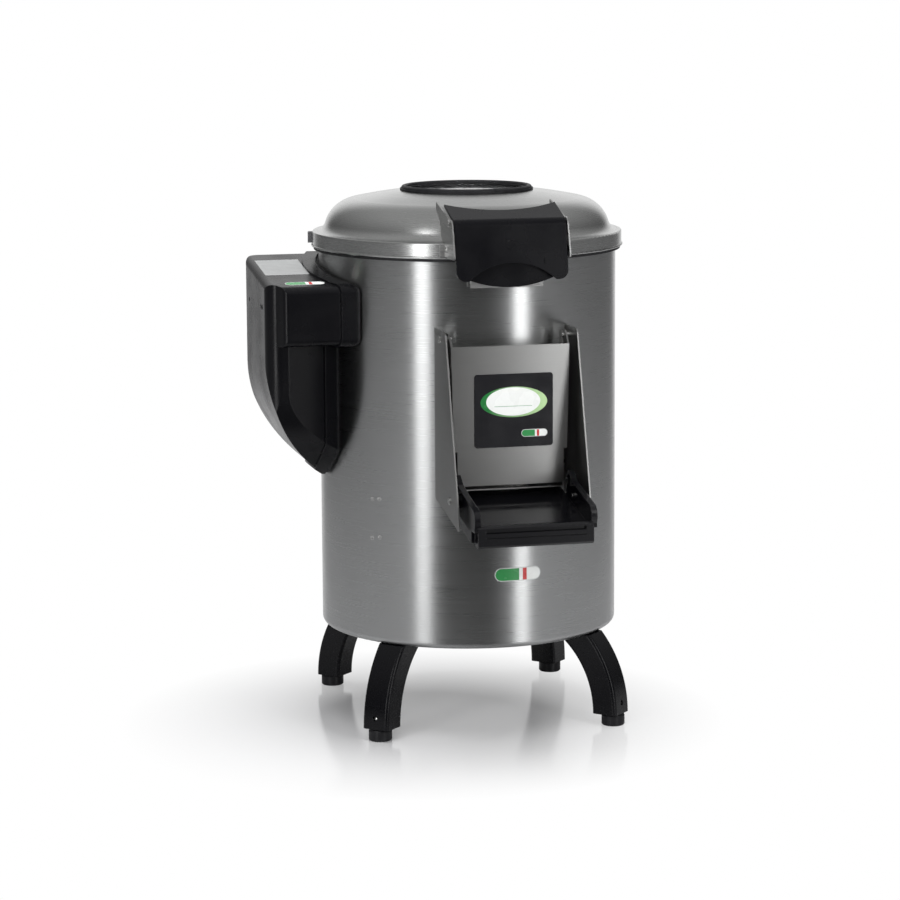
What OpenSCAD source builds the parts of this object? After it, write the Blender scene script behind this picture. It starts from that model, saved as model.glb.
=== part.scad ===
// Electric potato peeler: a steel tub on four legs, with a turning abrasive disc inside.
// Millimetres, +Z up. The origin is on the floor, on the tub's own axis.
// The discharge door faces -Y, the control box -X, and the lid is hinged at +Y.

/* [Tub] */
// Outside diameter of the tub
tub_d = 400; // [340:1:480]
// Height of the tub, from its lower edge to its rim
tub_h = 510; // [470:1:612]
// Height of the tub's lower edge above the floor
tub_base_z = 122; // [112:1:150]
// Thickness of the tub's steel sheet
sheet = 1.5; // [1:0.1:2]
// Radius of the bend at the tub's lower edge
tub_bend_r = 8; // [4:0.5:12]
// Height of the chamber floor above the tub's lower edge
floor_up = 158; // [154:1:175]
// Gap between the tub and the peeling drum inside it
drum_gap = 8; // [7.5:0.5:14]
// Thickness of the abrasive lining
lining_t = 3.4; // [2:0.2:6]

/* [Lid] */
// Radius of the lid's flat crown
crown_r = 787; // [650:1:1200]
// Radius of the lid's shoulder
shoulder_r = 46; // [38:1:52]
// Height of the middle of the lid above the tub's rim
lid_h = 83; // [80:1:100]
// Overhang of the lid's rim band past the tub
band_over = 8; // [7:0.5:14]
// Height of the lid's rim band
band_h = 19; // [17:0.5:24]
// Radius of the cove between the shoulder and the rim band
cove_r = 15; // [10:1:18]
// Radius of the lid's window, at its rubber ring
window_r = 84.5; // [60:0.5:94]
// How far the lid opens, in degrees
lid_open = 95; // [60:1:100]

/* [Lid handle] */
// Width of the handle hood
hood_w = 147; // [110:1:170]
// Wall of the handle hood
hood_wall = 3.2; // [2.4:0.2:4]
// Gap between the hood and the steel bracket on each side of it
hood_gap = 1.5; // [1:0.1:2.5]

/* [Discharge] */
// Width of the opening in the tub
mouth_w = 124; // [90:1:126]
// Height of the opening in the tub
mouth_h = 158; // [120:1:160]
// Distance between the outer faces of the two side plates
chute_w = 176; // [170:1:200]
// Thickness of the side plates and of the door
plate_t = 2; // [1.5:0.1:2.4]
// Gap between the tub and the door's outer plate, at the middle
door_reach = 29; // [24:1:34]
// Thickness of the tray's moulded walls
tray_wall = 4; // [3:0.2:5]

/* [Control box] */
// How far the box stands out from the tub
box_reach = 90; // [80:1:110]
// Width of the box
box_w = 176; // [150:1:190]
// Wall of the moulded box
box_wall = 3; // [2:0.2:4]
// Radius of the curve of the box's underside
box_belly_r = 185; // [175:1:200]
// Travel of the start and stop buttons
button_travel = 3; // [2:0.5:4]

/* [Legs] */
// Width of a leg across its outer face
leg_w = 39; // [34:1:44]
// Depth of a leg, from its inner to its outer curve
leg_depth = 36; // [32:1:40]
// Diameter of a foot
foot_d = 31; // [26:1:36]
// Height of a foot
foot_h = 15; // [12:1:24]

/* [Drive] */
// Radius of the disc's drive shaft
shaft_r = 10; // [9:0.5:11]
// Radius of the driven pulley
drive_pulley_r = 78; // [60:1:82]
// Radius of the motor's pulley
motor_pulley_r = 25; // [22:1:28]
// Distance between the motor's shaft and the drive shaft
motor_offset = 118; // [116:1:120]
// Clearance of a shaft or pin that turns in its hole
run_fit = 0.05; // [0.02:0.01:0.1]

/* [Hidden] */
$fn = 96;

// Gap left where one piece seats on another's curved surface
seat = 0.1;
// Gap kept between pieces that move past each other
clear = 0.4;
// Overshoot of a cutting shape past the face it cuts
over = 1;

// --- Tub ---
tub_r = tub_d / 2;
inner_r = tub_r - sheet;
rim_z = tub_base_z + tub_h;
floor_z = tub_base_z + floor_up;
// Rolled bead at the rim
rim_bead_r = 3;
// How far the tub's lower edge turns in
foot_flange = 9;
// Flat ring inside the lower edge, which carries the legs
base_ring_w = 52;
base_ring_t = 3;
floor_t = 2;
// Upstand of the ledge that carries the chamber floor
ledge_h = 16;
ledge_w = 12;
drum_r = inner_r - drum_gap;
drum_top_z = rim_z - 70;
lining_r = drum_r - sheet - seat;
disc_gap = 2.5;
disc_r = lining_r - lining_t - disc_gap;
// The cast disc and the abrasive layer on it
disc_z = floor_z + 44;
disc_t = 6;
abrasive_t = 8;
wave_h = 8;
disc_top_z = disc_z + disc_t + abrasive_t;

// --- Discharge opening, door and tray ---
mouth_z = disc_top_z + 10;
mouth_r = 12;
throat_t = 2;
plate_x = chute_w / 2;
plate_in_x = plate_x - plate_t;
door_z = mouth_z - 2;
door_h = 181;
door_top_z = door_z + door_h;
door_y = -(tub_r + door_reach);
door_half = 78.5;
// Sideways step in the door's lower part, where it passes the tray's cheeks
door_step = 4.5;
door_step_z = door_z + 45;
door_taper = 3.3;
hinge_x_in = door_half - plate_t;
door_hinge_y = -(tub_r + 12);
door_hinge_z = door_top_z + 9;
pivot_r = 3;
tray_pivot_y = -(tub_r + 63);
tray_pivot_z = door_z - 12;
cheek_x = plate_in_x - 6.5;
// Half width of the tray's front bar, and of the ribs on it
bar_half = cheek_x - 4.5;
rib_half = bar_half - 10;
tray_y = -(tub_r + 158);
tray_z = door_z - 57;

// --- Lid ---
shoulder_x = tub_r - 7.5 - shoulder_r;
crown_turn = asin(shoulder_x / (crown_r - shoulder_r));
crown_z = rim_z + lid_h - crown_r;
shoulder_z = crown_z + cos(crown_turn) * (crown_r - shoulder_r);
band_r = tub_r + band_over;
band_z = rim_z + 5.5;
band_top_z = band_z + band_h;
band_edge_r = 2;
hem_r = 1.6;
cove_z = band_top_z + cove_r;
cove_x = shoulder_x + sqrt(pow(shoulder_r + cove_r, 2) - pow(cove_z - shoulder_z, 2));
// Lower edge and height of the pads that are fixed to the rim band
pad_z = band_z + hem_r + 0.5;
pad_h = band_h - hem_r - 3;
// Height of the crown's outer surface at a distance r from the axis
function crown_at(r) = crown_z + sqrt(crown_r * crown_r - r * r);
window_z = crown_at(window_r);
pane_t = 4;
ring_bead_r = 3.2;

// --- Lid handle ---
hood_x = hood_w / 2;
bracket_x = hood_x + hood_gap;
hood_pivot_y = -(tub_r + 18);
hood_pivot_z = rim_z + 52;
hood_pin_r = 3;
// Points of the hood's outer side line: rear edge, bend and lower front edge
hood_rear = [-(tub_r - 23), rim_z + 73];
hood_bend = [-(tub_r + 32), rim_z + 55];
hood_front = [-(tub_r + 46), rim_z - 22];
hood_back_y = -(tub_r + 28);
hood_bottom_z = rim_z - 30;
hood_scoop_r = 139;

// --- Strike plate ---
strike_w = 96;
strike_y = -(tub_r + 15);
strike_z = rim_z - 32;
strike_h = 13;
tongue_w = 24;

// --- Lid hinge ---
lid_hinge_y = band_r + 9;
lid_hinge_z = rim_z + 18;
lid_pin_r = 4;
hinge_ear_x = 29;
ear_t = 3;
knuckle_r = 8;

// --- Control box ---
box_x = tub_r + box_reach;
box_half = box_w / 2;
// Radius of the curved face where the cover meets the base
parting_r = tub_r + 22;
// How far the base stands out round the cover's edge
base_lip = 2.5;
gasket_t = 4;
// Outer face of the base's back wall
back_r = tub_r + gasket_t + seat + box_wall;
// Height of the box's top at its front edge, and its slope towards the front
box_top_z = rim_z - 37;
box_block_y = -(box_half + 17);
box_slope = 7.6;
box_belly_z = rim_z - 140;
box_shield_z = rim_z - 176;
box_shield_r = 140;
box_block_z = rim_z - 115;
box_block_r = 10;
box_tip_z = rim_z - 295;
box_plan_r = 20;
box_top_r = 9;
// Where the box's front side starts to taper towards the tub
taper_x = -box_x + 28;
taper_turn = 20.9;
screw_y = 44;
screw_z = box_belly_z + 74;
gland_x = -(tub_r + 27);
gland_z = box_shield_z - 50;
// Height of the box's outer top surface at a given y
function box_top_at(y) = box_top_z + tan(box_slope) * (y - box_block_y);

// --- Controls on the box's rear face ---
panel_t = 1.6;
panel_w = 54;
panel_h = 132;
panel_x = -(tub_r + 39);
panel_z = rim_z - 95;
knob_z = panel_z + 38;
knob_r = 17;
start_z = panel_z - 10;
stop_z = panel_z - 44;
button_r = 10;
stem_r = 4;

// --- Legs ---
leg_angles = [-135, -45, 45, 135];
leg_centre = [tub_r - 120.4, tub_base_z - 106];
leg_outer_r = 160.4;
leg_edge_r = 5;
leg_bolt_at = tub_r - 18;
leg_bolt_r = 4;
leg_bolt_spread = 11;
foot_at = tub_r + 26;

// --- Drive ---
pulley_z = tub_base_z + 6;
pulley_h = 16;
belt_w = 6.6;
belt_t = 7;
groove_depth = 9;
housing_r = 30;
housing_z = floor_z - 90;
housing_top_z = floor_z + 26;
bearing_r = 22;
bearing_h = 14;
motor_r = 56;
fin_r = 62;
motor_shaft_r = 7;
motor_z = pulley_z + pulley_h + 12;
motor_top_z = floor_z - 28;

// --- Water ---
drain_angle = 60;
drain_r = 25;
// Radius where the drain passes through the drum and the tub
drain_shank_r = drain_r - 1;
drain_wall = 2;
drain_z = floor_z + drain_r + 1;
drain_len = 62;
inlet_angle = 120;
inlet_r = 10.5;
// Radius where the inlet passes through the tub
inlet_shank_r = inlet_r - 1;
inlet_z = rim_z - 38;
inlet_len = 20;

// ---------------------------------------------------------------- helpers

// Points along an arc about (cx, cy), from angle a0 to a1
function arc(cx, cy, r, a0, a1, steps = 8) =
  [for (i = [0 : steps]) let (a = a0 + (a1 - a0) * i / steps) [cx + r * cos(a), cy + r * sin(a)]];

// Rectangle w by h about the origin, with corner radius r
module rounded_square(w, h, r) {
  square([w, h - 2 * r], center = true);
  square([w - 2 * r, h], center = true);
  for (x = [-1, 1], y = [-1, 1]) {
    translate([x * (w / 2 - r), y * (h / 2 - r)]) circle(r);
  }
}

// Stands a y-z outline up and carries it across from x0 to x1
module across(x0, x1) {
  translate([x0, 0, 0]) rotate([90, 0, 90]) linear_extrude(x1 - x0) children();
}

// Stands an x-z outline up and carries it back from y0 to y1
module backward(y0, y1) {
  translate([0, y1, 0]) rotate([90, 0, 0]) linear_extrude(y1 - y0) children();
}

// Upright tube
module ring(r_out, r_in, z0, h) {
  translate([0, 0, z0]) difference() {
    cylinder(r = r_out, h = h);
    translate([0, 0, -over]) cylinder(r = r_in, h = h + 2 * over);
  }
}

// Upright cylinder standing on z0
module post(r, z0, h) {
  translate([0, 0, z0]) cylinder(r = r, h = h);
}

// Round bar from point a to point b
module bar(a, b, r) {
  v = b - a;
  length = norm(v);
  translate(a) rotate([0, acos(v.z / length), atan2(v.y, v.x)]) cylinder(r = r, h = length);
}

// Bar along x
module x_bar(r, x0, x1, y, z) {
  translate([x0, y, z]) rotate([0, 90, 0]) cylinder(r = r, h = x1 - x0);
}

// Bar along y
module y_bar(r, y0, y1, x, z) {
  translate([x, y1, z]) rotate([90, 0, 0]) cylinder(r = r, h = y1 - y0);
}

// Bar pointing outwards from the tub's axis, at a given angle and height
module radial_bar(r, r0, r1, angle, z) {
  rotate([0, 0, angle]) x_bar(r, r0, r1, 0, z);
}

// The full tub as a solid, for seating pieces on its outside
module tub_solid(gap = seat) {
  post(tub_r + gap, tub_base_z - over, rim_z + lid_h);
}

// ---------------------------------------------------------------- tub

// Half outline of the tub, drawn in by inset; it ends at top_z
module tub_half(inset, top_z) {
  r = tub_r - inset;
  base = tub_base_z + inset;
  bend = tub_bend_r - inset;
  translate([0, base + bend]) square([r, top_z - base - bend]);
  translate([0, base]) square([r - bend, bend * 2]);
  translate([r - bend, base + bend]) circle(bend);
}

// Outline of the discharge opening in the x-z plane, grown on every side
module mouth_outline(grow) {
  translate([0, mouth_z + mouth_h / 2]) {
    rounded_square(mouth_w + 2 * grow, mouth_h + 2 * grow, mouth_r + grow);
  }
}

module tub_shell() {
  color("silver")
  difference() {
    rotate_extrude() {
      difference() {
        tub_half(0, rim_z);
        tub_half(sheet, rim_z + over);
        translate([0, tub_base_z - over]) square([tub_r - foot_flange, 4 * over]);
      }
      translate([tub_r - rim_bead_r, rim_z - rim_bead_r]) circle(rim_bead_r);
    }
    backward(-tub_r - over, -tub_r / 2) mouth_outline(throat_t + seat);
    radial_bar(drain_shank_r + seat, drum_r, tub_r + over, drain_angle, drain_z);
    radial_bar(inlet_shank_r + seat, drum_r, tub_r + over, inlet_angle, inlet_z);
    radial_bar(cable_r + seat, drum_r, tub_r + over, cable_angle, cable_top_z);
  }
}

// Flat ring welded inside the tub's lower edge, with the holes for the leg bolts
module base_ring() {
  color("gainsboro")
  difference() {
    ring(tub_r - foot_flange - seat, tub_r - base_ring_w, tub_base_z, base_ring_t);
    for (i = [0 : 3], t = [-1, 1]) {
      at_leg(i) translate([leg_bolt_at, t * leg_bolt_spread, 0]) {
        post(leg_bolt_r + run_fit, tub_base_z - over, base_ring_t + 2 * over);
      }
    }
  }
}

// Angle ring welded inside the tub, which carries the chamber floor
module floor_ledge() {
  wall_r = inner_r - seat;
  color("gainsboro")
  difference() {
    rotate_extrude() {
      translate([wall_r - ledge_w, floor_z - floor_t - sheet]) square([ledge_w, sheet]);
      translate([wall_r - sheet, floor_z - ledge_h]) square([sheet, ledge_h - floor_t]);
    }
    cable_drop_hole();
  }
}

// Pan that closes the peeling chamber below and carries the bearing housing
module chamber_floor() {
  color("gainsboro")
  difference() {
    post(inner_r - seat, floor_z - floor_t, floor_t);
    post(housing_r + seat, floor_z - 2 * floor_t, 4 * floor_t);
    cable_drop_hole();
  }
}

module peeling_drum() {
  color("lightgray")
  difference() {
    rotate_extrude() {
      translate([drum_r - sheet, floor_z + seat]) square([sheet, drum_top_z - floor_z - seat]);
      translate([drum_r - sheet, drum_top_z - sheet]) square([drum_gap + sheet - seat, sheet]);
    }
    backward(-tub_r, -tub_r / 2) mouth_outline(throat_t + seat);
    radial_bar(drain_shank_r + seat, drum_r / 2, tub_r, drain_angle, drain_z);
  }
}

module abrasive_lining() {
  color("dimgray")
  difference() {
    ring(lining_r, lining_r - lining_t, disc_top_z - 4, drum_top_z - disc_top_z);
    backward(-tub_r, -tub_r / 2) mouth_outline(throat_t + seat);
  }
}

// Frame that joins the drum's opening to the tub's
module discharge_throat() {
  color("black")
  intersection() {
    backward(-tub_r, -tub_r / 2) difference() {
      mouth_outline(throat_t);
      mouth_outline(0);
    }
    ring(tub_r, lining_r - lining_t, mouth_z - 2 * mouth_r, mouth_h + 4 * mouth_r);
  }
}

module strike_plate() {
  color("silver")
  difference() {
    union() {
      intersection() {
        ring(tub_r + seat + sheet, tub_r + seat, strike_z, strike_h);
        translate([-strike_w / 2, -2 * tub_r, 0]) cube([strike_w, 2 * tub_r, rim_z]);
      }
      across(-strike_w / 2, strike_w / 2) {
        translate([strike_y, strike_z]) square([sheet, strike_h]);
        translate([strike_y, strike_z + strike_h - sheet]) square([tub_r / 2, sheet]);
      }
    }
    tub_solid();
    // Open notch that the handle's tongue drops into
    translate([-tongue_w / 2 - 2, strike_y - over, strike_z + 3]) {
      cube([tongue_w + 4, -tub_r - sheet - strike_y, strike_h]);
    }
  }
}

// ---------------------------------------------------------------- discharge

// Side plate outline in the y-z plane
module side_outline() {
  polygon(concat(
    [[-tub_r / 2, door_z - 9], [-tub_r / 2, door_top_z + 20]],
    arc(-tub_r - 31, door_top_z + 11, 9, 90, 165),
    arc(-tub_r - 102, door_z - 38, 6, 165, 315)
  ));
}

module side_plate() {
  color("silver")
  difference() {
    union() {
      across(plate_in_x, plate_x) side_outline();
      intersection() {
        ring(tub_r + seat + plate_t, tub_r + seat, door_z, door_h + 12);
        translate([plate_in_x - 7, -2 * tub_r, 0]) cube([7 + plate_t / 2, 2 * tub_r, rim_z]);
      }
    }
    tub_solid();
    x_bar(pivot_r + run_fit, plate_in_x - over, plate_x + over, door_hinge_y, door_hinge_z);
    x_bar(pivot_r + run_fit, plate_in_x - over, plate_x + over, tray_pivot_y, tray_pivot_z);
  }
}

// Both side plates, each the mirror image of the other
module side_plates() {
  side_plate();
  mirror([1, 0, 0]) side_plate();
}

// Pan-head screws that hold the side plates' inner flanges to the tub
module plate_screws() {
  angle = asin((plate_in_x - 4.8) / tub_r);
  color("silver")
  for (side = [-1, 1], z = [door_z + 20, door_z + door_h / 2, door_top_z - 14]) {
    radial_bar(3, tub_r + seat + plate_t, tub_r + seat + plate_t + 2, -90 + side * angle, z);
  }
}

// Shoulder bolt through a side plate; it reaches in to x_in
module pivot_bolt(x_in, y, z) {
  x_bar(pivot_r, x_in, plate_x + 1, y, z);
  x_bar(pivot_r + 2, plate_x, plate_x + 2.6, y, z);
}

// Two bolts carry the door and two the tray, one of each in either side plate
module pivot_bolts() {
  color("silver")
  for (side = [0, 1]) {
    mirror([side, 0, 0]) {
      pivot_bolt(hinge_x_in - 3, door_hinge_y, door_hinge_z);
      pivot_bolt(cheek_x - tray_wall - 3, tray_pivot_y, tray_pivot_z);
    }
  }
}

// Front outline of the door plate, in the x-z plane
module door_outline() {
  low_half = door_half - door_taper - door_step;
  half = concat(
    [[door_half, door_top_z], [door_half - door_taper, door_step_z], [low_half, door_step_z]],
    arc(low_half - 4, door_z + 4, 4, 0, -90, 4)
  );
  polygon(concat(half, [for (i = [len(half) - 1 : -1 : 0]) [-half[i].x, half[i].y]]));
}

module door_plate() {
  color("silver")
  difference() {
    union() {
      backward(door_y - plate_t, door_y) door_outline();
      for (side = [0, 1]) {
        mirror([side, 0, 0]) across(hinge_x_in, door_half) {
          translate([door_hinge_y, door_hinge_z]) circle(7);
          polygon([
            [door_y - plate_t / 2, door_top_z], [door_y - plate_t / 2, door_top_z - 30],
            [door_y + 6, door_top_z - 30], [door_hinge_y + 6.5, door_hinge_z - 2.6],
            [door_hinge_y - 4.2, door_hinge_z + 5.6],
          ]);
        }
      }
    }
    x_bar(pivot_r + run_fit, -chute_w, chute_w, door_hinge_y, door_hinge_z);
  }
}

// Curved pan welded to the back of the door, which fills the space up to the tub
module door_box() {
  half = door_half - door_taper - door_step;
  low_z = door_z - 6;
  high_z = door_top_z - 9;
  color("gainsboro")
  difference() {
    translate([-half, door_y, low_z]) cube([2 * half, tub_r, high_z - low_z]);
    post(tub_r + 5, low_z - over, door_h);
    difference() {
      translate([-half + sheet, door_y - over, low_z + sheet]) {
        cube([2 * (half - sheet), tub_r, high_z - low_z - 2 * sheet]);
      }
      post(tub_r + 5 + sheet, low_z - over, door_h);
    }
  }
}

module door_seal() {
  half = door_half - door_taper - door_step;
  color("black")
  intersection() {
    ring(tub_r + 5 - seat, tub_r + clear, door_z - 5, door_h - 5);
    backward(-2 * tub_r, 0) difference() {
      translate([-half + 1, door_z - 5]) square([2 * half - 2, door_h - 5]);
      mouth_outline(throat_t + 1);
    }
  }
}

// Blank badge plate on the door
module door_badge() {
  badge_w = 104;
  badge_h = 95;
  color("dimgray")
  translate([4, 0, door_z + 97]) {
    backward(door_y - plate_t - 1.2, door_y - plate_t) rounded_square(badge_w, badge_h, 4);
  }
}

// Upper edge of the tray's cheek from its rounded front end to its rear end, drawn in by t
function cheek_top(t) = concat(
  arc(tray_y + 15, tray_z + 34, 15 - t, 215, 110, 6),
  [[tray_y + 57, tray_z + 57.5 - t], [-tub_r - 66, tray_z + 66 - t], [-tub_r - 50 - t, tray_z + 76 - t]]
);

// Side outline of the tray's cheek, in the y-z plane
module cheek_outline() {
  polygon(concat(
    [[tray_y + 2, tray_z + 2], [tray_y + 2, tray_z + 22]], cheek_top(0),
    [[-tub_r - 42, tray_z + 70], [-tub_r - 24, tray_z + 42], [-tub_r - 24, tray_z + 23]]
  ));
}

// Recess in a cheek's inner face, which leaves a raised rim along its upper edge
module cheek_recess() {
  polygon(concat(
    [[tray_y + 12, tray_z + 4], [tray_y + 8, tray_z + 22]], cheek_top(4),
    [[-tub_r, tray_z + 42], [-tub_r, tray_z + 23]]
  ));
}

// Outline of the front bar without its grooves, in the y-z plane
module bar_outline() {
  polygon([
    [tray_y + 3, tray_z], [tray_y, tray_z + 3], [tray_y, tray_z + 25],
    [tray_y + 3, tray_z + 28], [tray_y + 9, tray_z + 28], [tray_y + 18, tray_z + 18],
    [tray_y + 18, tray_z + 3],
  ]);
}

// Grooves between the front bar's two ribs and below them
module bar_grooves() {
  translate([tray_y - over, tray_z + 18.5]) square([6, 5]);
  translate([tray_y - over, tray_z + 12]) square([2.2, 1.6]);
}

// Outline of the tray's floor, in the y-z plane
module tray_floor_outline() {
  polygon([
    [tray_y + 3, tray_z], [tray_y + 12, tray_z + 16], [-tub_r / 2, tray_z + 66],
    [-tub_r / 2, tray_z + 62], [tray_y + 24, tray_z + 3],
  ]);
}

module discharge_tray() {
  cheek_in = cheek_x - tray_wall;
  rim_in = cheek_x - 2 * tray_wall;
  color("black")
  difference() {
    union() {
      across(-cheek_in, cheek_in) tray_floor_outline();
      across(-bar_half, bar_half) bar_outline();
      for (side = [0, 1]) {
        mirror([side, 0, 0]) {
          difference() {
            across(rim_in, cheek_x) cheek_outline();
            across(rim_in - over, cheek_in) cheek_recess();
          }
          x_bar(9, cheek_in, plate_in_x - clear, tray_pivot_y, tray_pivot_z);
        }
      }
    }
    across(-rib_half, rib_half) bar_grooves();
    post(tub_r + 3, 0, rim_z);
    x_bar(pivot_r + run_fit, -chute_w, chute_w, tray_pivot_y, tray_pivot_z);
    // The cheeks end short of the front bar's ends, and the bar is hollow there
    for (side = [0, 1]) {
      mirror([side, 0, 0]) {
        translate([bar_half, tray_y - over, tray_z - over]) cube([tray_wall * 2, 20, 20 + over]);
        x_bar(5.5, bar_half - 14, bar_half + over, tray_y + 10, tray_z + 12);
      }
    }
  }
}

// ---------------------------------------------------------------- water

module drain_spigot() {
  color("silver")
  rotate([0, 0, drain_angle]) translate([0, 0, drain_z]) rotate([0, 90, 0]) {
    difference() {
      union() {
        post(drain_shank_r, drum_r - sheet, tub_r - drum_r + 2 * sheet);
        post(drain_r, tub_r + sheet, drain_len - sheet);
        // Flange shaped to the tub
        difference() {
          post(drain_r + 12, tub_r - 8, 11);
          rotate([0, -90, 0]) translate([0, 0, -tub_r]) cylinder(r = tub_r + seat, h = 2 * tub_r);
        }
      }
      // Wider bore outside the tub, and a narrower one through its wall
      post(drain_r - drain_wall, tub_r + sheet, tub_r);
      post(drain_shank_r - drain_wall, 0, 2 * tub_r);
      // The inner end follows the drum
      rotate([0, -90, 0]) translate([0, 0, -tub_r]) cylinder(r = drum_r - sheet, h = 2 * tub_r);
    }
  }
}

// Bulkhead fitting with a threaded tail and a spray elbow inside the rim
module water_inlet() {
  color("goldenrod")
  difference() {
    union() {
      radial_bar(inlet_shank_r, inner_r - 12, tub_r + 2, inlet_angle, inlet_z);
      radial_bar(inlet_r, tub_r + 2, tub_r + 8 + inlet_len, inlet_angle, inlet_z);
      rotate([0, 0, inlet_angle]) translate([tub_r + 1, 0, inlet_z]) {
        rotate([0, 90, 0]) cylinder(r = 17, h = 7, $fn = 6);
      }
      rotate([0, 0, inlet_angle]) translate([inner_r - 8, 0, inlet_z]) {
        rotate([0, 90, 0]) cylinder(r = 16, h = 6, $fn = 6);
      }
      rotate([0, 0, inlet_angle]) translate([inner_r - 12, 0, 0]) {
        post(8, inlet_z - 22, 22);
        post(inlet_shank_r, inlet_z - inlet_shank_r - 1, 2 * inlet_shank_r + 2);
      }
    }
    radial_bar(7, inner_r - 12, tub_r + 9 + inlet_len, inlet_angle, inlet_z);
    rotate([0, 0, inlet_angle]) translate([inner_r - 12, 0, 0]) post(5.5, inlet_z - 23, 24);
  }
}

// ---------------------------------------------------------------- legs

// Curved leg that stands in the x-z plane, on the +X side
module leg() {
  color("black")
  difference() {
    intersection() {
      translate([leg_centre.x, leg_w / 2, leg_centre.y]) rotate([90, 0, 0]) {
        translate([0, 0, leg_w / 2]) rotate_extrude(angle = 80) {
          translate([leg_outer_r - leg_depth / 2, 0]) rounded_square(leg_depth, leg_w, leg_edge_r);
        }
      }
      translate([tub_r - 48, -leg_w, foot_h]) cube([leg_outer_r, 2 * leg_w, tub_base_z - foot_h]);
    }
    for (t = [-1, 1]) {
      translate([leg_bolt_at, t * leg_bolt_spread, 0]) {
        post(leg_bolt_r + run_fit, tub_base_z - 26, 28);
      }
    }
    translate([foot_at, 0, 0]) post(5 + run_fit, foot_h - over, 27);
    // Countersunk hole in the outer face
    translate([leg_centre.x + leg_outer_r - 5, 0, foot_h + 16]) rotate([0, 90, 0]) {
      cylinder(r = 3.5, h = 12);
    }
  }
}

module at_leg(i) {
  rotate([0, 0, leg_angles[i]]) children();
}

// Rubber feet, each with a threaded stud that screws up into its leg
module feet() {
  color("black")
  for (i = [0 : 3]) {
    at_leg(i) translate([foot_at, 0, 0]) {
      rotate_extrude() polygon([
        [0, 0], [foot_d / 2 - 1.5, 0], [foot_d / 2, 1.5], [foot_d / 2, foot_h - 2],
        [foot_d / 2 - 1, foot_h - seat], [5, foot_h - seat], [5, foot_h + 24], [0, foot_h + 24],
      ]);
    }
  }
}

// Hexagon bolts that hold the legs to the tub's lower flange
module leg_bolts() {
  color("silver")
  for (i = [0 : 3], t = [-1, 1]) {
    at_leg(i) translate([leg_bolt_at, t * leg_bolt_spread, tub_base_z]) {
      post(leg_bolt_r, -24, 24 + base_ring_t);
      post(8, base_ring_t, 1.6);
      translate([0, 0, base_ring_t + 1.6]) cylinder(r = 7.5, h = 5.5, $fn = 6);
    }
  }
}

// ---------------------------------------------------------------- drive

module bearing_housing() {
  color("slategray")
  difference() {
    union() {
      post(housing_r, housing_z, housing_top_z - housing_z);
      post(housing_r + 26, floor_z - floor_t - 8, 8);
      // Ribs under the flange
      for (a = [30 : 60 : 330]) {
        rotate([0, 0, a]) translate([0, -3, 0]) rotate([90, 0, 0]) translate([0, 0, -6]) {
          linear_extrude(6) polygon([
            [housing_r - 2, housing_z + 20], [housing_r + 4, housing_z + 20],
            [housing_r + 22, floor_z - floor_t - 8], [housing_r + 22, floor_z - floor_t - 6],
            [housing_r - 2, floor_z - floor_t - 6],
          ]);
        }
      }
    }
    post(bearing_r + run_fit, housing_z - over, bearing_h + 8 + over);
    post(shaft_r + 4, housing_z, housing_top_z - housing_z);
    post(bearing_r + run_fit, housing_top_z - bearing_h - 14, bearing_h + 15);
    for (a = [0 : 60 : 300]) {
      rotate([0, 0, a]) translate([housing_r + 17, 0, 0]) post(3.3, floor_z - 15, 20);
    }
  }
}

module shaft_bearings() {
  color("silver")
  for (z = [housing_z + 8, housing_top_z - bearing_h - 14]) {
    difference() {
      ring(bearing_r, shaft_r + run_fit, z, bearing_h);
      // Shield grooves in both faces
      ring(bearing_r - 3, shaft_r + 4, z - over, over + 0.8);
      ring(bearing_r - 3, shaft_r + 4, z + bearing_h - 0.8, over + 0.8);
    }
  }
}

module shaft_seal() {
  color("black")
  ring(bearing_r, shaft_r + run_fit, housing_top_z - 10, 9);
}

module drive_shaft() {
  color("silver") {
    post(shaft_r, pulley_z - 4, disc_top_z - pulley_z + 4);
    // Collar that rests on the upper bearing
    post(shaft_r + 3, housing_top_z - 13.5, 3);
  }
}

// V-belt pulley: rim with a groove, web with holes, and a hub
module v_pulley(r, bore_r, hub_r) {
  rim_r = r - groove_depth - 6;
  difference() {
    rotate_extrude() {
      polygon([
        [rim_r, 0], [r, 0], [r, 1.5], [r - groove_depth, 5], [r - groove_depth, pulley_h - 5],
        [r, pulley_h - 1.5], [r, pulley_h], [rim_r, pulley_h],
      ]);
      translate([bore_r, pulley_h / 2 - 3]) square([rim_r - bore_r + 1, 6]);
      translate([bore_r, 0]) square([hub_r - bore_r, pulley_h]);
    }
    if (rim_r - hub_r > 24) {
      for (a = [0 : 60 : 300]) {
        rotate([0, 0, a]) translate([(rim_r + hub_r) / 2, 0, 0]) post(9, -over, pulley_h + 2);
      }
    }
  }
}

module drive_pulley() {
  color("slategray")
  translate([0, 0, pulley_z]) v_pulley(drive_pulley_r, shaft_r, shaft_r + 10);
}

module motor_pulley() {
  color("slategray")
  translate([0, motor_offset, pulley_z]) v_pulley(motor_pulley_r, motor_shaft_r, 9);
}

module motor_shaft() {
  color("silver")
  translate([0, motor_offset, 0]) post(motor_shaft_r, pulley_z - 2, motor_z + 20 - pulley_z);
}

// Outline of a belt round both pulleys, at a depth below their rims
module belt_outline(depth) {
  r0 = drive_pulley_r - depth;
  r1 = motor_pulley_r - depth;
  turn = asin((r0 - r1) / motor_offset);
  polygon(concat(
    arc(0, 0, r0, turn - 180 - turn * 2, turn, 30),
    arc(0, motor_offset, r1, turn, 180 - turn, 16)
  ));
}

module drive_belt() {
  outer = 0.5;
  inner = belt_t;
  color("black")
  translate([0, 0, pulley_z + (pulley_h - belt_w) / 2]) linear_extrude(belt_w) difference() {
    belt_outline(outer);
    belt_outline(inner);
  }
}

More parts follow.
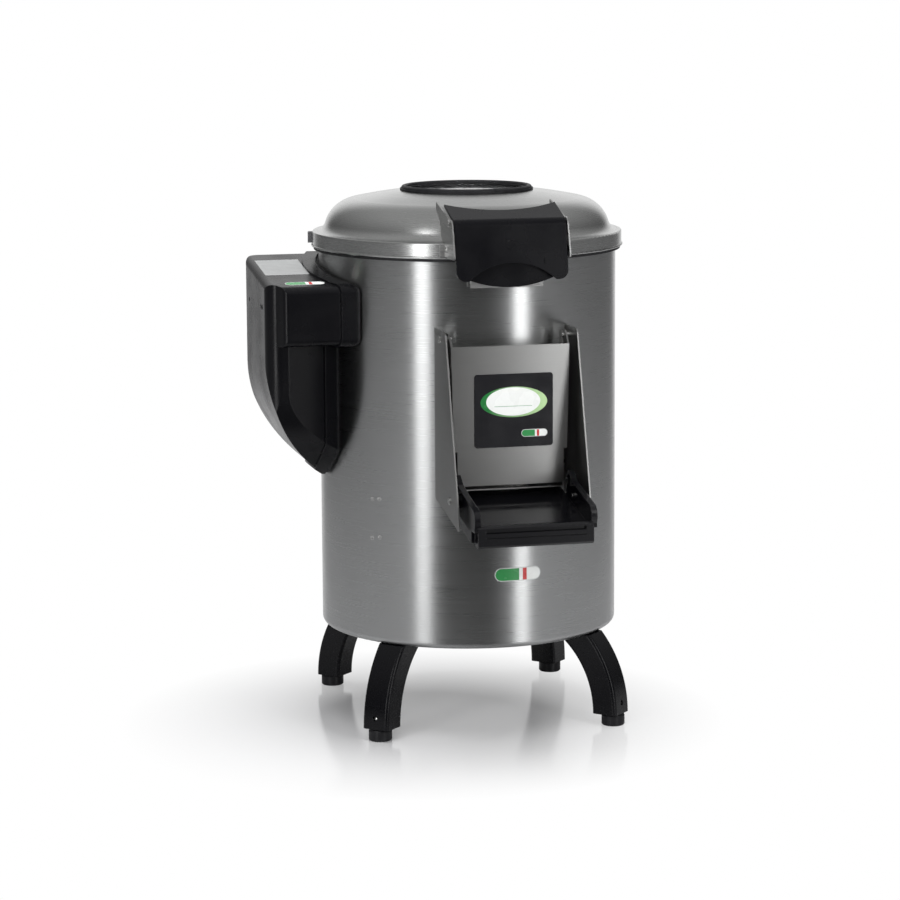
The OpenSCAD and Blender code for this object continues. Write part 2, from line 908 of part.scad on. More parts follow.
module motor_housing() {
  fins = 28;
  color("slategray")
  translate([0, motor_offset, 0]) difference() {
    union() {
      post(motor_r, motor_z, motor_top_z - motor_z);
      for (i = [0 : fins - 1]) {
        rotate([0, 0, i * 360 / fins]) translate([motor_r - 1, -1.2, motor_z + 6]) {
          cube([fin_r - motor_r + 1, 2.4, motor_top_z - motor_z - 12]);
        }
      }
      // Terminal box on the side towards the control box
      translate([-fin_r - 22, -20, motor_z + 22]) cube([28, 40, 50]);
    }
    post(motor_shaft_r + run_fit, motor_z - over, 24);
    x_bar(cable_r + run_fit, -fin_r - 23, -fin_r - 8, 0, motor_z + 50);
  }
}

module motor_end_caps() {
  color("dimgray")
  translate([0, motor_offset, 0]) {
    difference() {
      union() {
        post(motor_r + 2, motor_z - 7, 7);
        post(16, motor_z - 10, 10);
      }
      post(motor_shaft_r + run_fit, motor_z - 11, 12);
    }
    post(motor_r + 2, motor_top_z, 7);
  }
}

// Plate under the chamber floor that the motor hangs from, with four welded spacers
module motor_mount() {
  plate_z = motor_top_z + 7;
  color("silver")
  translate([0, motor_offset, 0]) {
    translate([0, 0, plate_z]) linear_extrude(4) rounded_square(116, 116, 10);
    for (x = [-1, 1], y = [-1, 1]) {
      translate([x * 46, y * 46, 0]) post(6, plate_z + 4, floor_z - floor_t - plate_z - 4);
    }
  }
}

// Supply cable inside the machine, from the control box down to the motor
cable_r = 3.5;
cable_angle = 180;
cable_x = -(tub_r - sheet - drum_gap / 2);
cable_top_z = box_belly_z - 110;
cable_low_z = floor_z - 40;

module cable_drop_hole() {
  translate([cable_x, 0, 0]) post(cable_r + 2 * seat, floor_z - ledge_h - over, ledge_h + 2 * over);
}

module motor_cable() {
  motor_x = -fin_r - 22 + 8;
  motor_in_z = motor_z + 50;
  stops = [
    [-(tub_r + 12), 0, cable_top_z], [cable_x, 0, cable_top_z], [cable_x, 0, cable_low_z],
    [-(tub_r - 60), motor_offset, motor_in_z], [motor_x, motor_offset, motor_in_z],
  ];
  color("black")
  for (i = [0 : len(stops) - 2]) {
    // Each length runs a little past its ends, so that the corners are filled
    along = (stops[i + 1] - stops[i]) / norm(stops[i + 1] - stops[i]) * cable_r * 0.8;
    bar(stops[i] - along, stops[i + 1] + along, cable_r - (i % 2) * seat);
  }
}

// ---------------------------------------------------------------- peeling disc

module cast_disc() {
  vanes = 3;
  color("darkgray")
  difference() {
    union() {
      post(disc_r, disc_z, disc_t);
      post(shaft_r + 8, disc_z - 14, 14 + disc_t);
      // Skirt that keeps water off the shaft seal
      ring(housing_r + 8, housing_r + 4, disc_z - 26, 26);
      // Vanes that sweep the peelings to the drain
      for (i = [0 : vanes - 1]) {
        rotate([0, 0, i * 360 / vanes]) translate([housing_r + 6, -2.5, disc_z - 14]) {
          cube([disc_r - housing_r - 12, 5, 14 + disc_t / 2]);
        }
      }
    }
    post(shaft_r, disc_z - 15, 20 + disc_t);
  }
}

// Abrasive layer with three rounded waves that toss the potatoes
module abrasive_disc() {
  waves = 3;
  wave_r = 34;
  base_z = disc_z + disc_t;
  color("gray")
  intersection() {
    difference() {
      union() {
        post(disc_r, base_z, abrasive_t);
        for (i = [0 : waves - 1]) {
          rotate([0, 0, i * 360 / waves]) {
            x_bar(wave_r, 30, disc_r - 8, 0, base_z + abrasive_t + wave_h - wave_r);
          }
        }
      }
      post(24, base_z - over, 2 * abrasive_t + wave_h);
      post(2 * disc_r, base_z - 3 * wave_r, 3 * wave_r);
    }
    post(disc_r, base_z, abrasive_t + wave_h + over);
  }
}

// Domed nut that clamps the disc to the shaft
module disc_nut() {
  base_z = disc_z + disc_t;
  dome_r = 40;
  color("silver")
  difference() {
    intersection() {
      post(21, base_z, 20);
      translate([0, 0, base_z + 18 - dome_r]) sphere(dome_r);
    }
    post(shaft_r, base_z - over, disc_top_z - base_z + 2 * over);
  }
}

// ---------------------------------------------------------------- lid

// Half outline of the lid as a filled shape, drawn in by inset
module lid_half(inset) {
  meet = (shoulder_r - inset) / (shoulder_r + cove_r);
  meet_z = shoulder_z + meet * (cove_z - shoulder_z);
  edge = band_edge_r - inset;
  top = band_top_z - inset;
  out = band_r - inset;
  // Crown, up to where the shoulder takes over
  intersection() {
    translate([0, crown_z]) circle(crown_r - inset, $fn = 360);
    polygon([
      [0, crown_z], [0, crown_z + 2 * crown_r],
      [2 * crown_r * tan(crown_turn), crown_z + 2 * crown_r],
    ]);
    translate([0, band_z]) square([tub_r, 2 * lid_h]);
  }
  // Shoulder
  translate([shoulder_x, shoulder_z]) circle(shoulder_r - inset);
  translate([0, band_z]) square([shoulder_x + shoulder_r - inset, shoulder_z - band_z]);
  // Cove between the shoulder and the rim band
  difference() {
    translate([shoulder_x, top - over]) {
      square([min(cove_x, out - edge) - shoulder_x, meet_z - top + over]);
    }
    translate([cove_x, cove_z]) circle(cove_r + inset);
  }
  // Rim band
  translate([0, band_z]) square([out - edge, top - band_z]);
  translate([0, band_z]) square([out, top - band_z - edge]);
  translate([out - edge, top - edge]) circle(edge);
}

// The same outline cut off level at the band's lower edge
module lid_region(inset) {
  intersection() {
    lid_half(inset);
    translate([0, band_z]) square([2 * tub_r, 2 * lid_h]);
  }
}

// The closed lid as a solid, grown a little, for seating pieces on it
module lid_solid(gap = seat) {
  rotate_extrude() {
    lid_region(-gap);
    translate([band_r, band_z]) circle(hem_r + gap);
  }
}

module lid_shell() {
  color("silver")
  rotate_extrude() {
    difference() {
      lid_region(0);
      lid_half(sheet);
      translate([0, band_z - over]) square([band_r - sheet, over * 2]);
      translate([0, window_z - lid_h / 2]) square([window_r - 3, lid_h]);
    }
    translate([band_r, band_z]) circle(hem_r);
  }
}

// Rubber rim seal that sits in the band and lands on the tub's rim
module lid_gasket() {
  low_z = rim_z + 0.3;
  inside = band_r - sheet - seat;
  hem_in = band_r - hem_r - seat;
  color("black")
  rotate_extrude() {
    difference() {
      polygon([
        [tub_r - 4, low_z], [hem_in, low_z], [hem_in, band_z + 1.5],
        [min(hem_in, inside), band_z + 2.5], [min(hem_in, inside), band_z + band_h],
        [tub_r - 2, band_z + band_h], [tub_r - 4, band_z + 2],
      ]);
      difference() {
        translate([0, band_z]) square([2 * tub_r, 4 * band_h]);
        lid_half(sheet + seat);
      }
    }
  }
}

module lid_window() {
  color("white", 0.5)
  post(window_r - 3, window_z - pane_t, pane_t);
}

// Rubber ring that joins the window to the lid's crown
module window_ring() {
  color("black")
  rotate_extrude() {
    difference() {
      union() {
        translate([window_r, window_z + 2.6]) circle(ring_bead_r);
        translate([window_r - 7, window_z - pane_t - 2.5]) square([12, pane_t + 4.5]);
      }
      translate([window_r - 3 - seat, window_z - crown_r / 2 - sheet]) square([seat, crown_r / 2]);
      lid_sheet_groove();
      translate([0, window_z - pane_t - seat]) square([window_r - 3 + seat, pane_t + 2 * seat]);
    }
  }
}

// The lid's sheet near the window, grown by the seating gap
module lid_sheet_groove() {
  difference() {
    lid_half(-seat);
    lid_half(sheet + seat);
    square([window_r - 3 - seat, 4 * tub_r]);
  }
}

// Side outline of a handle bracket, in the y-z plane
module bracket_outline() {
  polygon(concat(
    [[-tub_r + 53, rim_z + 64], [-tub_r + 53, rim_z + 74]],
    arc(hood_bend.x + 8, hood_bend.y - 8, 10, 70, 165, 6),
    arc(hood_front.x + 6, rim_z + 12, 5, 180, 270, 4),
    [[-tub_r + 5, rim_z + 6]]
  ));
}

// Steel brackets spot-welded to the lid at each side of the hood, each with a screwed foot
module handle_brackets() {
  foot_x = 8;
  color("silver")
  for (side = [0, 1]) {
    mirror([side, 0, 0]) difference() {
      union() {
        across(bracket_x, bracket_x + plate_t) bracket_outline();
        intersection() {
          ring(band_r + seat + plate_t, band_r + seat, pad_z, pad_h);
          translate([bracket_x, -2 * tub_r, 0]) cube([foot_x, 2 * tub_r, 2 * rim_z]);
        }
        radial_bar(2.6, band_r + plate_t, band_r + plate_t + 2, bracket_screw_angle, pad_z + pad_h / 2);
      }
      lid_solid();
      x_bar(hood_pin_r + run_fit, bracket_x - 1, bracket_x + 4, hood_pivot_y, hood_pivot_z);
    }
  }
}

bracket_screw_angle = -90 + asin((bracket_x + 4.5) / band_r);

module handle_pin() {
  color("silver") {
    x_bar(hood_pin_r, -bracket_x - 2, bracket_x + 2, hood_pivot_y, hood_pivot_z);
    for (side = [0, 1]) {
      mirror([side, 0, 0]) {
        x_bar(hood_pin_r + 2, bracket_x + plate_t, bracket_x + plate_t + 2, hood_pivot_y, hood_pivot_z);
      }
    }
  }
}

// Lean of the hood's front skin
hood_lean = (hood_front.x - hood_bend.x) / (hood_front.y - hood_bend.y);
// Distance of the front skin's outer face from the axis, at a height z
function hood_front_at(z) = hood_front.x + hood_lean * (z - hood_front.y);

// Side outline of the hood as a filled shape, in the y-z plane
module hood_outline() {
  low = hood_bottom_z - 10;
  polygon(concat(
    [hood_rear, [hood_rear.x, hood_rear.y - hood_wall], [hood_back_y, hood_bend.y - 3]],
    [[hood_back_y, low], [hood_front_at(low), low]],
    arc(hood_bend.x + 11, hood_bend.y - 9, 12, 170, 108)
  ));
}

// Side outline of the hood's finger pocket
module pocket_outline() {
  low = hood_bottom_z - 20;
  back = hood_back_y - hood_wall;
  top = hood_bend.y - 12;
  polygon([
    [back, low], [back, top], [hood_front_at(top) + hood_wall, top],
    [hood_front_at(low) + hood_wall, low],
  ]);
}

// What lies below the hood's lower edge with its rounded corners, in the x-z plane
module below_hood(low_z, corner) {
  difference() {
    translate([-hood_w, low_z - lid_h]) square([2 * hood_w, lid_h + corner]);
    translate([0, low_z + lid_h]) rounded_square(hood_w, 2 * lid_h, corner);
  }
}

// Hinged black hood: a top skin, a front skin with an arched finger opening, and a back wall
module handle_hood() {
  arch_r = 86;
  arch_h = 22;
  belly_r = 150;
  front_z = hood_bottom_z + 10;
  back_face = hood_back_y - hood_wall;
  skirt_back_y = hood_front_at(front_z) + 2 * hood_wall;
  color("black")
  difference() {
    union() {
      difference() {
        across(-hood_x, hood_x) hood_outline();
        across(-hood_x + hood_wall, hood_x - hood_wall) pocket_outline();
        // Arched opening at the front skin's lower edge
        backward(-2 * tub_r, back_face) {
          translate([0, front_z + arch_h - arch_r]) circle(arch_r);
          below_hood(front_z, 12);
        }
        // Convex lower edge of the back wall
        backward(back_face, -tub_r / 2) difference() {
          translate([-hood_w, hood_bottom_z - lid_h]) square([2 * hood_w, lid_h + 28]);
          translate([0, hood_bottom_z + belly_r]) circle(belly_r);
        }
        // Below the brackets only the front skin is as wide as the hood
        for (side = [0, 1]) {
          mirror([side, 0, 0]) backward(skirt_back_y, -tub_r / 2) {
            translate([hood_x - 13, front_z - lid_h]) square([2 * hood_w, lid_h + 25]);
          }
        }
        // Concave rear edge of the top skin
        translate([0, hood_scoop_r - tub_r + 2, 0]) post(hood_scoop_r, rim_z, 2 * lid_h);
      }
      for (side = [0, 1]) {
        mirror([side, 0, 0]) x_bar(6, hood_x - 14, hood_x, hood_pivot_y, hood_pivot_z);
      }
    }
    x_bar(hood_pin_r + run_fit, -hood_w, hood_w, hood_pivot_y, hood_pivot_z);
  }
}

// Steel tongue riveted behind the hood's back wall
module latch_tongue() {
  tongue_z = strike_z + 8;
  color("silver")
  across(-tongue_w / 2, tongue_w / 2) {
    translate([hood_back_y, tongue_z]) square([plate_t, 34]);
    translate([hood_back_y, tongue_z]) square([strike_y + 4 - hood_back_y, plate_t]);
  }
}

// ---------------------------------------------------------------- lid hinge

module hinge_base() {
  color("silver")
  difference() {
    union() {
      intersection() {
        ring(tub_r + seat + ear_t, tub_r + seat, rim_z - 72, 58);
        translate([-hinge_ear_x - 14, 0, 0]) cube([2 * hinge_ear_x + 28, 2 * tub_r, rim_z]);
      }
      for (side = [0, 1]) {
        mirror([side, 0, 0]) across(hinge_ear_x, hinge_ear_x + ear_t) {
          translate([lid_hinge_y, lid_hinge_z]) circle(knuckle_r);
          polygon([
            [tub_r - 20, rim_z - 72], [tub_r + 8, rim_z - 72],
            [lid_hinge_y + knuckle_r, rim_z - 14], [lid_hinge_y + knuckle_r, lid_hinge_z],
            [lid_hinge_y - knuckle_r, lid_hinge_z], [lid_hinge_y - knuckle_r, rim_z + 2],
            [tub_r + 4, rim_z - 10], [tub_r - 20, rim_z - 14],
          ]);
        }
      }
    }
    tub_solid();
    x_bar(lid_pin_r + run_fit, -2 * hinge_ear_x, 2 * hinge_ear_x, lid_hinge_y, lid_hinge_z);
    for (x = [-1, 1], z = [rim_z - 62, rim_z - 24]) {
      y_bar(3, tub_r / 2, tub_r + 20, x * (hinge_ear_x + 9), z);
    }
  }
}

module hinge_pin() {
  end_x = hinge_ear_x + ear_t + 2;
  color("silver") {
    x_bar(lid_pin_r, -end_x, end_x, lid_hinge_y, lid_hinge_z);
    x_bar(lid_pin_r + 2, end_x - 1.5, end_x + 1.5, lid_hinge_y, lid_hinge_z);
  }
}

// Hinge arm on the lid: a curved pad on the rim band, a web and a knuckle
module hinge_arm() {
  half = hinge_ear_x - clear;
  color("silver")
  difference() {
    union() {
      intersection() {
        ring(band_r + seat + plate_t, band_r + seat, pad_z, pad_h);
        translate([-half, 0, 0]) cube([2 * half, 2 * tub_r, 2 * rim_z]);
      }
      across(-half, half) {
        translate([lid_hinge_y, lid_hinge_z]) circle(knuckle_r);
        translate([band_r - 10, lid_hinge_z - 5]) square([lid_hinge_y - band_r + 10, 8]);
      }
    }
    lid_solid();
    x_bar(lid_pin_r + run_fit, -2 * half, 2 * half, lid_hinge_y, lid_hinge_z);
  }
}

// Magnet housing of the lid's safety switch, on the rim band above the control box
module lid_magnet() {
  color("dimgray")
  rotate([0, 0, 166]) translate([0, 0, pad_z]) difference() {
    translate([band_r - 3, -7, 0]) cube([9, 14, pad_h]);
    cylinder(r = band_r + seat, h = 30, center = true, $fn = 720);
  }
}

// ---------------------------------------------------------------- control box

// Side view outline of the box, in the x-z plane: flat face and curved underside
module box_side(inset) {
  translate([-box_x + inset, box_belly_z]) square([box_x, 2 * box_w]);
  intersection() {
    translate([-box_x + box_belly_r, box_belly_z]) circle(box_belly_r - inset);
    translate([-box_x, box_belly_z - box_belly_r]) square([box_x, box_belly_r]);
  }
}

// Front view outline of the box, in the y-z plane: straight sides and a shield below
module box_shield(inset) {
  translate([-box_half + inset, box_shield_z]) square([box_w - 2 * inset, 2 * box_w]);
  intersection_for(side = [-1, 1]) {
    translate([side * (box_shield_r - box_half), box_shield_z]) circle(box_shield_r - inset);
    translate([-box_half, box_shield_z - box_shield_r]) square([box_w, box_shield_r]);
  }
}

// Plan outline of the box, with rounded outer corners and a front side that tapers to the tub
module box_plan(inset) {
  r = box_plan_r - inset;
  front = -box_half + inset / cos(taper_turn);
  difference() {
    union() {
      translate([-box_x + inset + r, -box_half + inset]) square([box_x, box_w - 2 * inset]);
      translate([-box_x + inset, -box_half + inset + r]) square([box_x, box_w - 2 * inset - 2 * r]);
      for (y = [-1, 1]) translate([-box_x + inset + r, y * (box_half - inset - r)]) circle(r);
    }
    polygon([
      [taper_x, front], [taper_x + box_w, front + box_w * tan(taper_turn)],
      [taper_x + box_w, -box_w], [taper_x, -box_w],
    ]);
  }
}

// Plan outline of the shoulder block on the box's front side
module box_block_plan(inset) {
  r = 8 - inset;
  turn = 202;
  centre = [-box_x + 26, box_block_y + 8];
  rear = -box_half / 1.5;
  translate(centre) circle(r);
  polygon([
    [-box_x + inset, rear], centre + r * [cos(turn), sin(turn)], centre + [0, -r],
    [-tub_r / 2, box_block_y + inset], [-tub_r / 2, rear],
  ]);
}

// Front view outline of the shoulder block, in the y-z plane, with its edges rounded
module box_block_outline(inset) {
  r = box_block_r - inset;
  front = box_block_y + inset;
  low = box_block_z + inset;
  edge_z = box_top_at(front + r) - (r + inset) / cos(box_slope);
  difference() {
    union() {
      translate([front + r, low]) square([box_half, box_w]);
      translate([front, low + r]) square([box_half, box_w]);
      translate([front + r, low + r]) circle(r);
    }
    difference() {
      translate([front - over, edge_z]) square([r + over, box_w]);
      translate([front + r, edge_z]) circle(r);
    }
  }
}

// Everything below the sloping top, with a rounded long edge
module box_below_top(inset) {
  r = box_top_r - inset;
  translate([0, box_block_y, box_top_z]) rotate([box_slope, 0, 0]) backward(-box_w, 2 * box_w) {
    translate([-box_x + inset + r, -4 * box_w]) square([box_x, 4 * box_w - inset]);
    translate([-box_x + inset, -4 * box_w]) square([box_x, 4 * box_w - inset - r]);
    translate([-box_x + inset + r, -inset - r]) circle(r);
  }
}

// The box as a filled shape that runs on into the tub, drawn in by inset
module box_solid(inset) {
  intersection() {
    union() {
      intersection() {
        backward(-box_half + inset, box_half - inset) box_side(inset);
        across(-box_x - base_lip, 0) box_shield(inset);
        translate([0, 0, box_tip_z + inset]) linear_extrude(2 * box_w) box_plan(inset);
      }
      intersection() {
        across(-box_x - base_lip, 0) box_block_outline(inset);
        linear_extrude(rim_z + box_w) box_block_plan(inset);
      }
    }
    box_below_top(inset);
  }
}

// Rubber gasket between the box and the tub
module box_gasket() {
  color("black")
  difference() {
    box_solid(-0.5);
    tub_solid();
    ring(2 * box_x, tub_r + gasket_t, 0, rim_z + box_w);
    radial_bar(cable_r + seat, drum_r, tub_r + 3 * gasket_t, cable_angle, cable_top_z);
  }
}

// Part of the box that is screwed to the tub: a back wall with a lip round it
module box_base() {
  color("black")
  difference() {
    box_solid(-base_lip);
    post(tub_r + gasket_t + seat, 0, rim_z + box_w);
    ring(2 * box_x, parting_r, 0, rim_z + box_w);
    difference() {
      box_solid(base_lip);
      post(back_r, 0, rim_z + box_w);
    }
    radial_bar(cable_r + seat, tub_r, box_x, cable_angle, cable_top_z);
  }
}

// Outer cover of the box, with the holes of its controls
module box_cover() {
  color("black")
  difference() {
    union() {
      difference() {
        box_solid(0);
        box_solid(box_wall);
      }
      // Boss that the cable gland screws into
      y_bar(14, 66, box_half - 4, gland_x, gland_z);
    }
    post(parting_r + seat, 0, rim_z + box_w);
    for (z = [start_z, stop_z, knob_z]) {
      y_bar(stem_r + clear, box_half - 2 * box_wall, box_half + over, panel_x, z);
    }
    for (y = [-1, 1]) {
      x_bar(3 + seat, -box_x - over, -box_x + 2 * box_wall, y * screw_y, screw_z);
    }
    y_bar(8 + seat, 0, box_w, gland_x, gland_z);
  }
}

// Long screws that pull the cover against the base
module box_screws() {
  end_x = -sqrt(back_r * back_r - pow(screw_y - 2, 2)) - seat;
  color("silver")
  for (y = [-1, 1]) {
    x_bar(3, -box_x + 1.2, -box_x + box_wall + 1, y * screw_y, screw_z);
    x_bar(2, -box_x + 2, end_x, y * screw_y, screw_z);
  }
}

// All the small screws: those of the side plates and those of the control box
module small_screws() {
  plate_screws();
  box_screws();
}

// Panel on the box's rear face, with raised collars round the buttons
module control_panel() {
  color("dimgray")
  difference() {
    union() {
      translate([panel_x, 0, panel_z]) {
        backward(box_half, box_half + panel_t) rounded_square(panel_w, panel_h, 5);
      }
      for (z = [start_z, stop_z]) y_bar(button_r + 4, box_half, box_half + 5, panel_x, z);
    }
    for (z = [start_z, stop_z]) {
      y_bar(button_r + clear, box_half + panel_t, box_half + 6, panel_x, z);
      y_bar(stem_r + clear, box_half - over, box_half + 6, panel_x, z);
    }
    y_bar(stem_r + clear, box_half - over, box_half + 6, panel_x, knob_z);
  }
}

// What the box holds: timer, two switch blocks, and a contactor on the base's back wall
module switchgear() {
  contact_y = box_half - box_wall - 1;
  color("whitesmoke") {
    for (z = [start_z, stop_z]) {
      translate([panel_x - 12, contact_y - 40, z - 13]) cube([24, 26, 26]);
      // Posts that carry the switch block behind the wall
      for (x = [-9, 9]) {
        y_bar(2, contact_y - 15, contact_y + 0.7, panel_x + x, z);
      }
    }
    difference() {
      translate([panel_x - 20, contact_y - 32, knob_z - 16]) cube([40, 32.7, 32]);
      y_bar(stem_r + run_fit, contact_y - 12, contact_y + 2, panel_x, knob_z);
    }
    translate([-back_r - 28, -40, box_belly_z + 20]) cube([28, 54, 76]);
  }
}

module button(z, tint) {
  face_y = box_half + 8;
  color(tint) {
    y_bar(button_r, box_half + panel_t + button_travel + 0.3, face_y + 1, panel_x, z);
    y_bar(stem_r, box_half - box_wall - 8, face_y, panel_x, z);
  }
}

// Timer knob with a fluted grip and a pointer ridge
module timer_knob() {
  base_y = box_half + panel_t + clear;
  flutes = 12;
  color("black")
  difference() {
    union() {
      y_bar(knob_r, base_y, base_y + 4, panel_x, knob_z);
      y_bar(knob_r - 3.5, base_y, base_y + 17, panel_x, knob_z);
      y_bar(stem_r, box_half - box_wall - 10, base_y + 1, panel_x, knob_z);
      translate([panel_x - 1.2, base_y + 3, knob_z]) cube([2.4, 15, knob_r - 1.5]);
    }
    for (i = [1 : flutes - 1]) {
      angle = 90 + i * 360 / flutes;
      y_bar(2.2, base_y + 4, base_y + 20, panel_x + (knob_r - 2.4) * cos(angle),
        knob_z + (knob_r - 2.4) * sin(angle));
    }
  }
}

// Cable gland at the low rear of the box; nothing passes through it
module cable_gland() {
  color("black")
  difference() {
    union() {
      y_bar(8, 58, 92, gland_x, gland_z);
      translate([gland_x, 91, gland_z]) rotate([90, 0, 0]) cylinder(r = 12, h = 6.9, $fn = 6);
      y_bar(10, 90, 101, gland_x, gland_z);
      translate([gland_x, 65.9, gland_z]) rotate([90, 0, 0]) cylinder(r = 12, h = 4, $fn = 6);
    }
    y_bar(4, 50, 110, gland_x, gland_z);
  }
}

// ---------------------------------------------------------------- output

tub_shell();
base_ring();
floor_ledge();
chamber_floor();
peeling_drum();
abrasive_lining();
discharge_throat();
drain_spigot();
water_inlet();
strike_plate();
side_plates();
small_screws();
pivot_bolts();
at_leg(0) leg();  // leg_front_left
at_leg(1) leg();  // leg_front_right
at_leg(2) leg();  // leg_rear_right
at_leg(3) leg();  // leg_rear_left
feet();
leg_bolts();
bearing_housing();
shaft_bearings();
shaft_seal();
motor_housing();
motor_end_caps();
motor_mount();
motor_cable();
drive_belt();
hinge_base();
hinge_pin();
box_gasket();
box_base();
box_cover();
control_panel();
switchgear();
cable_gland();
lid_shell();
lid_gasket();
lid_window();
window_ring();
handle_brackets();
handle_pin();
hinge_arm();
lid_magnet();
handle_hood();
latch_tongue();
door_plate();
door_box();
door_seal();
door_badge();
discharge_tray();
cast_disc();
abrasive_disc();
disc_nut();
drive_shaft();
drive_pulley();
motor_shaft();
motor_pulley();
timer_knob();
button(start_z, "green");  // start_button
button(stop_z, "red");  // stop_button
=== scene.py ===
"""Looks of an electric potato peeler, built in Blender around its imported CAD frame.

Metres, +Z up, origin on the floor on the tub's own axis. The discharge door faces -Y, the control
box stands on the -X side and the lid is hinged at +Y. The sub-assemblies hold their sizes in
millimetres and degrees, and everything else is in metres unless its docstring says otherwise.
"""

import logging
import math
from collections.abc import Iterable, Sequence
from dataclasses import dataclass
from enum import Enum
from functools import cache
from typing import ClassVar

import bmesh
import bpy
from mathutils import Matrix, Vector


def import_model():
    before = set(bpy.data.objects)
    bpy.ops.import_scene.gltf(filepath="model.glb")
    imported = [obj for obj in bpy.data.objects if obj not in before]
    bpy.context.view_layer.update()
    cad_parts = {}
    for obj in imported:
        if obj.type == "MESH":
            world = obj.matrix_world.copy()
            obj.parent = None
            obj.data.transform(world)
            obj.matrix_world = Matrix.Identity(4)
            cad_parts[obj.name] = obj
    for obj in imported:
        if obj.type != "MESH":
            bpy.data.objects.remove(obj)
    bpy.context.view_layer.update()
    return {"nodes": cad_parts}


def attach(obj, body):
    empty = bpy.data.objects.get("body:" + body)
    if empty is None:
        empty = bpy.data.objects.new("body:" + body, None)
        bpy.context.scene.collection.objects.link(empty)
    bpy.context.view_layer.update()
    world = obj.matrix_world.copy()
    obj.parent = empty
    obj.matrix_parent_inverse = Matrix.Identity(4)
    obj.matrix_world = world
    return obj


LOG = logging.getLogger("potato_peeler")

MM = 0.001
TUB_R = 200 * MM

Colour = tuple[float, float, float]
Place = tuple[float, float, float]
Socket = bpy.types.NodeSocket

UP = Vector((0, 0, 1))
FRONT = Vector((0, -1, 0))
REAR = Vector((0, 1, 0))


def plain(x: float, y: float, z: float) -> Vector:
    """A place given in millimetres, as a vector in metres."""
    return Vector((x, y, z)) * MM


# ------------------------------------------------------------------ shading

# The stretch between 0 and 1 that holds nearly all of a noise pattern's values
MIDDLE = (0.3, 0.7)

# Vector steps whose result is a number
NUMBER_STEPS = ("LENGTH", "DISTANCE", "DOT_PRODUCT")


class Grain(Enum):
    """Which way a sheet's brushing lines run, by how much they shorten X, Y and Z of their pattern."""

    AROUND = (0.006, 0.006, 1)
    ACROSS = (0.02, 0.02, 1)
    SPUN = (1, 1, 1)


